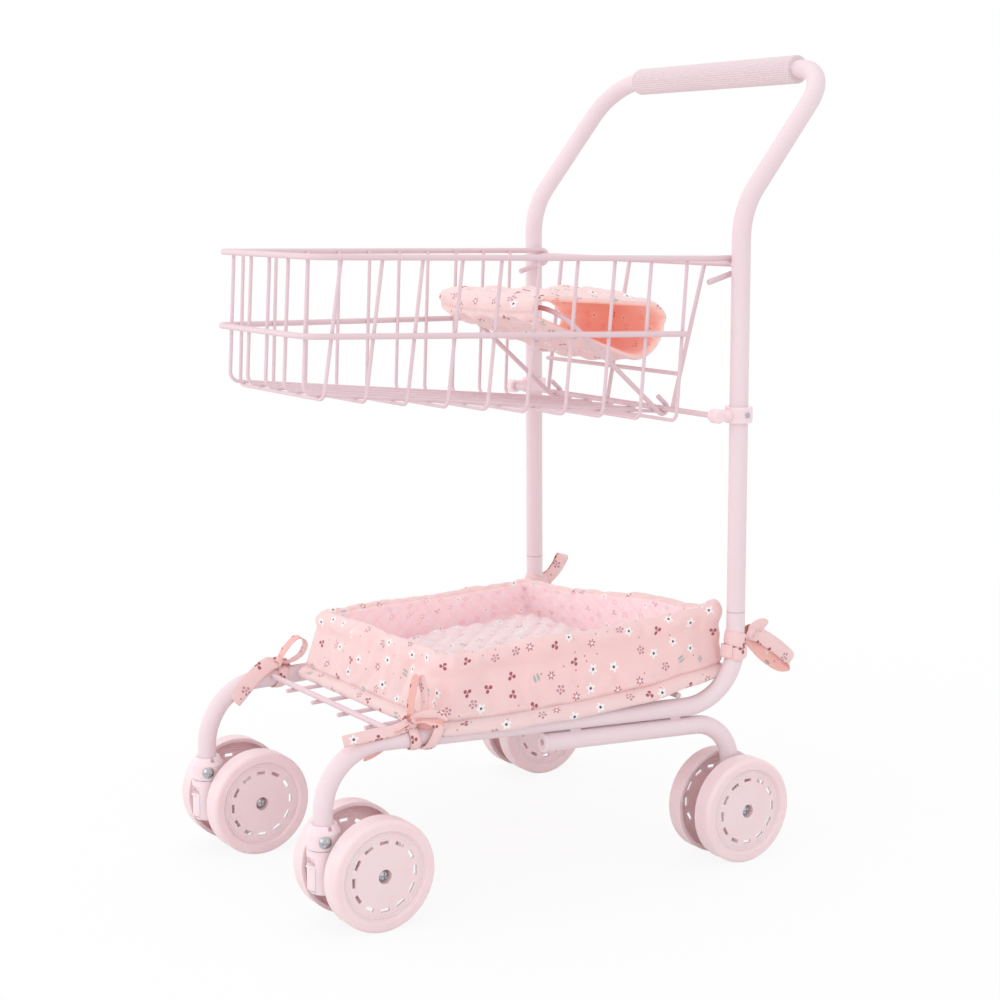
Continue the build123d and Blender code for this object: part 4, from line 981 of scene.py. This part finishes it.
# Doll's seat pad: a wadded sleeve of the printed cotton round the seat frame's bar, open at both ends, with
# a bound edge under its nose and a lining whose warm orange and faint glow are painted light, in place of
# the light coming into the sleeve. It is slack.
SEAT_HALF_WIDTH = 62.0
SEAT_TOP_SPREAD = 7.0
SEAT_NOSE, SEAT_NOSE_R = (-118.5, 391.2), 9.5
SEAT_HEEL, SEAT_HEEL_R = (-39.5, 377.0), 24.0
SEAT_WADDING = 4.0
SEAT_END_FROM, SEAT_END_LONG = 0.9, 0.1
SEAT_END_THINNER = 0.75
SEAT_SAG = 2.0
SEAT_NOTCH, SEAT_NOTCH_AT, SEAT_NOTCH_REACH = 5.0, 5, 5
SEAT_STEPS = (84, 40)
SEAT_QUILT = 10
SEAT_PUFF = 1.4
SEAT_SWELL = (24.0, 1.5)
SEAT_SEAM_AT = 2
# The rise of the bound edge and the dip beside it, by columns from the seam.
SEAT_BINDING = {0: 2.4, 1: -0.9, 2: -0.3}
SEAT_GATHER, SEAT_GATHER_FROM = 14.0, 0.85
SEAT_DROOP, SEAT_DROOP_FROM = 11.0, 0.3
# Painted light: the lining is made warm orange and glows faintly, in place of light coming into the sleeve.
SEAT_PAINTED_LIGHT_TINT, SEAT_PAINTED_LIGHT_SHARE = (1.0, 0.62, 0.52), 0.5
SEAT_PAINTED_GLOW, SEAT_PAINTED_GLOW_STRENGTH = (1.0, 0.16, 0.12), 0.13
SEAT_GLOW = 1.0


def sleeve_outline(count):
    """Points and outward directions round the tear-drop section from under the nose, and its length."""
    (ny, nz), (hy, hz) = SEAT_NOSE, SEAT_HEEL
    reach = math.hypot(hy - ny, hz - nz)
    lean = math.acos((SEAT_NOSE_R - SEAT_HEEL_R) / reach)
    course = math.atan2(hz - nz, hy - ny)
    nose_turn = 2 * (math.pi - lean)
    heel_turn = 2 * lean
    run = math.sqrt(reach ** 2 - (SEAT_HEEL_R - SEAT_NOSE_R) ** 2)
    stretches = [SEAT_NOSE_R * nose_turn, run, SEAT_HEEL_R * heel_turn, run]
    nose, heel = (SEAT_NOSE, SEAT_NOSE_R), (SEAT_HEEL, SEAT_HEEL_R)
    outline = []
    for place in range(count):
        way = sum(stretches) * place / count
        slide = 0.0
        if way < stretches[0]:
            angle = course - lean - way / SEAT_NOSE_R
            here, there = nose, heel
        elif way < sum(stretches[:2]):
            angle = course + lean
            here, there, slide = nose, heel, (way - stretches[0]) / run
        elif way < sum(stretches[:3]):
            angle = course + lean - (way - sum(stretches[:2])) / SEAT_HEEL_R
            here, there = heel, nose
        else:
            angle = course - lean
            here, there, slide = heel, nose, (way - sum(stretches[:3])) / run
        out = Vector((0, math.cos(angle), math.sin(angle)))
        start, stop = [Vector((0, *centre)) + out * radius for centre, radius in (here, there)]
        outline.append((start.lerp(stop, slide), out))
    return outline, sum(stretches)


def make_seat_pad():
    """Two layers: the outside from one end to the other, and the lining back inside it."""
    count, steps = SEAT_STEPS
    outline, round_length = sleeve_outline(count)
    rows, uv_rows, held = [], [], []
    for layer in (0, 1):
        for step in range(steps + 1):
            side = 1 - 2 * step / steps
            side = side if layer else -side
            near_end = max(0.0, (abs(side) - SEAT_END_FROM) / SEAT_END_LONG)
            row = []
            for c, (point, out) in enumerate(outline):
                from_seam = min((c - SEAT_SEAM_AT) % count, (SEAT_SEAM_AT - c) % count)
                cut = max(0.0, 1 - abs(c - SEAT_NOTCH_AT) / SEAT_NOTCH_REACH)
                notch = SEAT_NOTCH * cut if side > 0 else 0.0
                x = side * (SEAT_HALF_WIDTH + SEAT_TOP_SPREAD * max(0.0, out.z) ** 0.5 - notch * abs(side))
                depth = SEAT_WADDING * (1 - SEAT_END_THINNER * near_end ** 2) if layer else 0.0
                moved = point - out * (depth + SEAT_GATHER * max(0.0, -side - SEAT_GATHER_FROM))
                moved.x = x
                rearward = max(0.0, (moved.y - SEAT_NOSE[0]) / (SEAT_HEEL[0] - SEAT_NOSE[0]))
                loose = max(0.0, abs(side) - SEAT_DROOP_FROM)
                droop = SEAT_DROOP * loose * min(1.0, rearward) * max(0.0, out.z)
                moved.z -= SEAT_SAG * (1 - side ** 2) + droop
                if not layer:
                    uneven = slack((x, moved.y, moved.z), *SEAT_SWELL)
                    swell = SEAT_PUFF * quilt(c, step, SEAT_QUILT) + uneven
                    moved += out * swell * (1 - near_end)
                    moved += out * SEAT_BINDING.get(from_seam, 0.0)
                if layer or from_seam == 0 or near_end > 0.5 or on_seam(c, step, SEAT_QUILT):
                    held.append(len(rows) * count + c)
                row.append(at(*moved))
            rows.append(row)
            around = [round_length * MM * (c - SEAT_SEAM_AT - 1) / count for c in range(count + 1)]
            uv_rows.append([(side * SEAT_HALF_WIDTH * MM, way) for way in around])
    uv_rows.append(uv_rows[0])
    seat_cotton = make_cotton("seat_cotton", stitched=True)
    pad = mesh_from_rows("seat_sleeve", rows, uv_rows, seat_cotton, tube=True)
    # The seat lining's warm orange and faint glow are painted light.
    seat_lining = make_cotton("seat_lining", SEAT_PAINTED_LIGHT_TINT, SEAT_PAINTED_LIGHT_SHARE, SEAT_GLOW, kind="MIX",
                              painted_glow_color=SEAT_PAINTED_GLOW, painted_glow_strength=SEAT_PAINTED_GLOW_STRENGTH)
    pad.data.materials.append(seat_lining)
    for face in pad.data.polygons:
        face.material_index = int(face.index >= (steps + 1) * count)
    close_up(pad)
    settle(pad, held, pressure=3.0, spare=0.05, cap=0.002)
    return pad


seat_pad = make_seat_pad()
subdivide(seat_pad, 1)
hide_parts("seat_pad")
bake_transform(seat_pad)


# Ties: narrow ribbons of the same cotton, folded and stitched along one edge, sewn to the tray's corners.
# Each goes round its tube and is tied in a loose bow.
TIE_WIDTH = 9.0
TIE_CLOTH = 0.9
TIE_BOW = 0.5
TIE_ACROSS = 4
TIE_STEP = 1.6
TIE_CREASE, TIE_CREASE_SPREAD = (7.0, 0.5), 4.0
TIE_PRINT_SHIFT = 0.02
# Painted shade: one face of each ribbon is made darker and oranger than the other.
TIE_SHADE_TINT = (1.0, 0.78, 0.72)
TUBE_R = 6.5
UPRIGHT = 0.9
WRAP_STEPS = 12
KNOT_STEPS = 8
KNOT_HALF, KNOT_RISE, KNOT_TWIST = 4.6, 3.4, 0.6
KNOT_WIDTH, KNOT_STEP = 6.0, 1.0
FRONT_TIE_AT = Vector((96.4, -248.2, 119.2))
RAIL_WAY = Vector((-0.1185, -0.9926, 0.0288))
FAR_SIDE = Vector((-1, 1, 1))

tie_cotton = make_cotton("tie_cotton", glow=0.0)
# The darker face of each ribbon is painted shade; the other face keeps the plain print.
tie_shaded_face = make_cotton("tie_shaded_face", TIE_SHADE_TINT, 1.0, glow=0.0)


def smooth_way(points, step):
    """A smooth line through points, cut in short even steps."""
    points = [Vector(p) for p in points]
    padded = [2 * points[0] - points[1]] + points + [2 * points[-1] - points[-2]]
    line = []
    for place in range(1, len(padded) - 2):
        a, b, c, d = padded[place - 1:place + 3]
        cuts = max(2, round((c - b).length / step))
        bend, twist = 2 * a - 5 * b + 4 * c - d, 3 * b - a - 3 * c + d
        for cut in range(cuts):
            t = cut / cuts
            line.append(0.5 * (2 * b + (c - a) * t + bend * t ** 2 + twist * t ** 3))
    return line + [points[-1]]


def ribbon(points, sides, width=TIE_WIDTH, step=TIE_STEP):
    """The rows of a ribbon along a line, its width turned smoothly from the first side to the last."""
    line = smooth_way(points, step)
    rows = []
    for place, point in enumerate(line):
        way = (line[min(place + 1, len(line) - 1)] - line[max(place - 1, 0)]).normalized()
        share = place / (len(line) - 1) * (len(sides) - 1)
        low = min(int(share), max(len(sides) - 2, 0))
        side = Vector(sides[low]).lerp(Vector(sides[min(low + 1, len(sides) - 1)]), share - low)
        side = (side - way * side.dot(way)).normalized()
        up = way.cross(side)
        row = []
        for c in range(TIE_ACROSS + 1):
            across = 2 * c / TIE_ACROSS - 1
            crease = slack(point + side * across * TIE_CREASE_SPREAD, *TIE_CREASE)
            row.append(point + side * across * width / 2 + up * (TIE_BOW * (1 - across ** 2) + crease))
        rows.append(row)
    return rows


def wrap(centre, axis, gap, width, tilt):
    """A ribbon once round a tube, a little off its surface and a little askew."""
    axis = Vector(axis).normalized()
    up = Vector((0, 0, 1)) if abs(axis.z) < UPRIGHT else Vector((0, 1, 0))
    first = (up - axis * up.dot(axis)).normalized()
    second = axis.cross(first)
    points = []
    for turn in range(WRAP_STEPS + 1):
        angle = math.tau * turn / WRAP_STEPS
        away = (first * math.cos(angle) + second * math.sin(angle)) * (TUBE_R + gap)
        points.append(Vector(centre) + away + axis * tilt * math.cos(angle))
    return ribbon(points, [axis], width)


def knot(centre, way, side):
    """A short turn of the ribbon drawn tight round the crossing."""
    centre, way = Vector(centre), Vector(way).normalized()
    side = Vector(side)
    side = (side - way * side.dot(way)).normalized()
    up = way.cross(side)
    points = []
    for turn in range(KNOT_STEPS + 1):
        angle = math.tau * turn / KNOT_STEPS
        turned = centre + side * KNOT_HALF * math.cos(angle) + up * KNOT_RISE * math.sin(angle)
        points.append(turned + way * KNOT_TWIST * math.cos(2 * angle))
    return ribbon(points, [way], KNOT_WIDTH, KNOT_STEP)


def make_tie(name, strips):
    """One mesh from several strips of one ribbon, with cloth coordinates along the ribbon, and its length."""
    parts, total = [], 0.0
    for place, rows in enumerate(strips):
        lengths = running_lengths([row[TIE_ACROSS // 2] for row in rows], closed=False)
        across = [TIE_PRINT_SHIFT * place + c / TIE_ACROSS * TIE_WIDTH * MM for c in range(TIE_ACROSS + 1)]
        uv_rows = [[(u, s * MM) for u in across] for s in lengths]
        placed = [[at(*p) for p in row] for row in rows]
        parts.append(mesh_from_rows(f"{name}_{place}", placed, uv_rows, tie_cotton, ring=False))
        total += lengths[-1]
    work = bmesh.new()
    for part in parts:
        work.from_mesh(part.data)
        bpy.data.objects.remove(part)
    mesh = bpy.data.meshes.new(name)
    work.to_mesh(mesh)
    work.free()
    mesh.materials.append(tie_shaded_face)
    mesh.materials.append(tie_cotton)
    tie = bpy.data.objects.new(name, mesh)
    scene.collection.objects.link(tie)
    cloth = tie.modifiers.new("cloth", "SOLIDIFY")
    cloth.thickness = TIE_CLOTH * MM
    cloth.offset = 0.0
    cloth.material_offset = 1
    subdivide(tie, 1)
    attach(tie, "root")
    return tie, total


# Each ribbon's strips: the turns round the tube, the knot, then loops and tails as points, sides and width.
TIES = {
    "front_left": [
        wrap(FRONT_TIE_AT, RAIL_WAY, gap=0.9, width=7.5, tilt=1.0),
        knot((96.5, -249.5, 129.8), (0.2, -0.8, 0.5), (1, 0, 0)),
        ribbon([(97, -249, 129), (103, -240, 130.5), (107.6, -234.5, 127.5), (107.9, -236.5, 120),
                (104, -239.5, 113.5), (97, -242, 111.4), (90.5, -244.5, 114.5), (89.4, -246.5, 121),
                (92, -248, 127), (96, -249, 129)], [(0.2, 0.95, 0.2), (0, 0.9, -0.3), (0, 1, 0)], 8.0),
        ribbon([(96, -249, 130), (94.5, -247.5, 140), (93, -244.5, 151), (92, -241.5, 158.5),
                (92.5, -238.5, 158.5), (94, -237.5, 151), (96, -237.5, 142), (98, -240, 135),
                (97, -247, 131)], [(0.85, 0.5, 0), (0.8, 0.6, 0), (0.85, 0.5, 0)], 5.5),
        ribbon([(97, -248, 130.5), (101, -243, 134), (105.5, -237, 135), (108.6, -232.5, 133.5),
                (109.3, -231, 130.8), (107.5, -234, 128.8), (102.5, -241, 128.6), (97, -248, 129)],
               [(0.5, 0.1, 0.85), (0.4, 0.2, 0.9), (0.5, 0.1, 0.85)], 8.0),
        ribbon([(97, -250, 129.5), (98.6, -258, 127.6), (98.2, -270, 126.4), (97.2, -284, 125.8),
                (96.4, -299, 124.8)], [(0.6, 0, -0.8), (0.4, 0, -0.9)], 8.0),
        ribbon([(97, -250.5, 129), (99, -256, 128), (100.6, -263, 126.3)],
               [(0.9, 0.1, 0.45), (0.8, 0.2, 0.55)], 7.0),
        ribbon([(92, -249.5, 128), (88, -254, 121.5), (87, -262, 114.5), (88.5, -271, 110.8),
                (90, -280, 109.8)], [(0.2, 0.3, 0.9), (0.4, 0.2, 0.9)], 7.5),
    ],
    "front_right": [
        wrap(FRONT_TIE_AT * FAR_SIDE, RAIL_WAY * FAR_SIDE, gap=0.9, width=9.0, tilt=-2.0),
        knot((-95.5, -249.5, 129.6), (-0.2, -0.8, 0.5), (1, 0, 0)),
        ribbon([(-95.5, -250, 130), (-92, -256, 131), (-88.5, -264, 129), (-85.5, -276, 121.5),
                (-84, -290, 109)], [(0.5, 0.6, -0.6), (0.3, 0.68, -0.69), (0.1, 0.95, -0.32)], 11.5),
        ribbon([(-96, -248.5, 130.5), (-97.5, -241, 139.5), (-99.5, -232, 145.5), (-100.5, -225, 143.5),
                (-100.5, -223.5, 137.5), (-100, -229, 131), (-98, -239, 128.4), (-96, -247, 129)],
               [(1, 0, 0.1), (1, 0, -0.1), (1, 0, 0.1)], 8.5),
        ribbon([(-96, -249, 129), (-103, -243, 129.5), (-105.5, -237, 122), (-102, -236.5, 114)],
               [(0.2, 0.95, 0.2), (0.2, 0.9, -0.3)], 8.0),
    ],
    "rear_left": [
        wrap((126, 0, 149.5), (0.05, -0.1, 1), gap=1.0, width=11.0, tilt=1.5),
        wrap((126, 0, 157.0), (-0.1, 0.15, 1), gap=0.8, width=11.0, tilt=-1.5),
        knot((129.3, 9.8, 162.0), (0.2, 0.8, -0.5), (0, 0.5, 0.8)),
        ribbon([(129, 9, 162), (131, 18, 158.5), (132, 30, 151), (131.5, 42, 142), (130.5, 47.5, 137.0),
                (129.5, 46.5, 133.5), (129.5, 38, 135.0), (129.5, 26, 142.5), (129, 16, 152.0),
                (128.5, 9, 160.0)], [(0.1, 0.5, 0.85), (0, 0.6, 0.8), (0.1, 0.5, 0.85)], 11.0),
        ribbon([(130, 10, 162.5), (132, 14, 166), (133, 18, 167), (132.5, 21.5, 164.5)],
               [(0.3, -0.5, 0.8), (0.2, 0.4, 0.9)], 10.0),
        ribbon([(120, -4.5, 148), (121, -9.0, 150), (126, -9.4, 150), (131, -6.5, 150)],
               [(0, 0, 1), (0, 0.1, 1)], 10.0),
    ],
    "rear_right": [
        wrap((-126, 0, 149.5), (-0.05, -0.1, 1), gap=1.0, width=11.0, tilt=1.5),
        wrap((-126, 0, 157.0), (0.1, 0.25, 1), gap=0.8, width=8.0, tilt=-2.0),
        knot((-128, 9.8, 155.5), (-0.2, 0.8, 0.5), (0, -0.5, 0.8)),
        ribbon([(-128, 10, 156), (-128, 17, 159), (-127.5, 23, 166), (-127, 27, 173.5), (-126, 28, 175),
                (-125, 27, 173), (-125.5, 22, 165), (-126.5, 15, 158), (-127.5, 10, 155.5)],
               [(0.1, 0.9, -0.4), (0.1, 1, -0.2), (0.1, 0.9, -0.4)], 11.0),
        ribbon([(-128, 10.5, 155), (-130, 15, 149), (-130.5, 17, 139), (-130, 16, 128)],
               [(0.6, 0.8, 0), (0.3, 0.95, 0.1)], 9.0),
        ribbon([(-120, -4.5, 148), (-121, -9.0, 150), (-126, -9.4, 150), (-131, -6.5, 150)],
               [(0, 0, 1), (0, 0.1, 1)], 10.0),
    ],
}
for tie_place, strips in TIES.items():
    tie, tie_length = make_tie(f"ribbon_{tie_place}", strips)
    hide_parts(f"tie_{tie_place}")
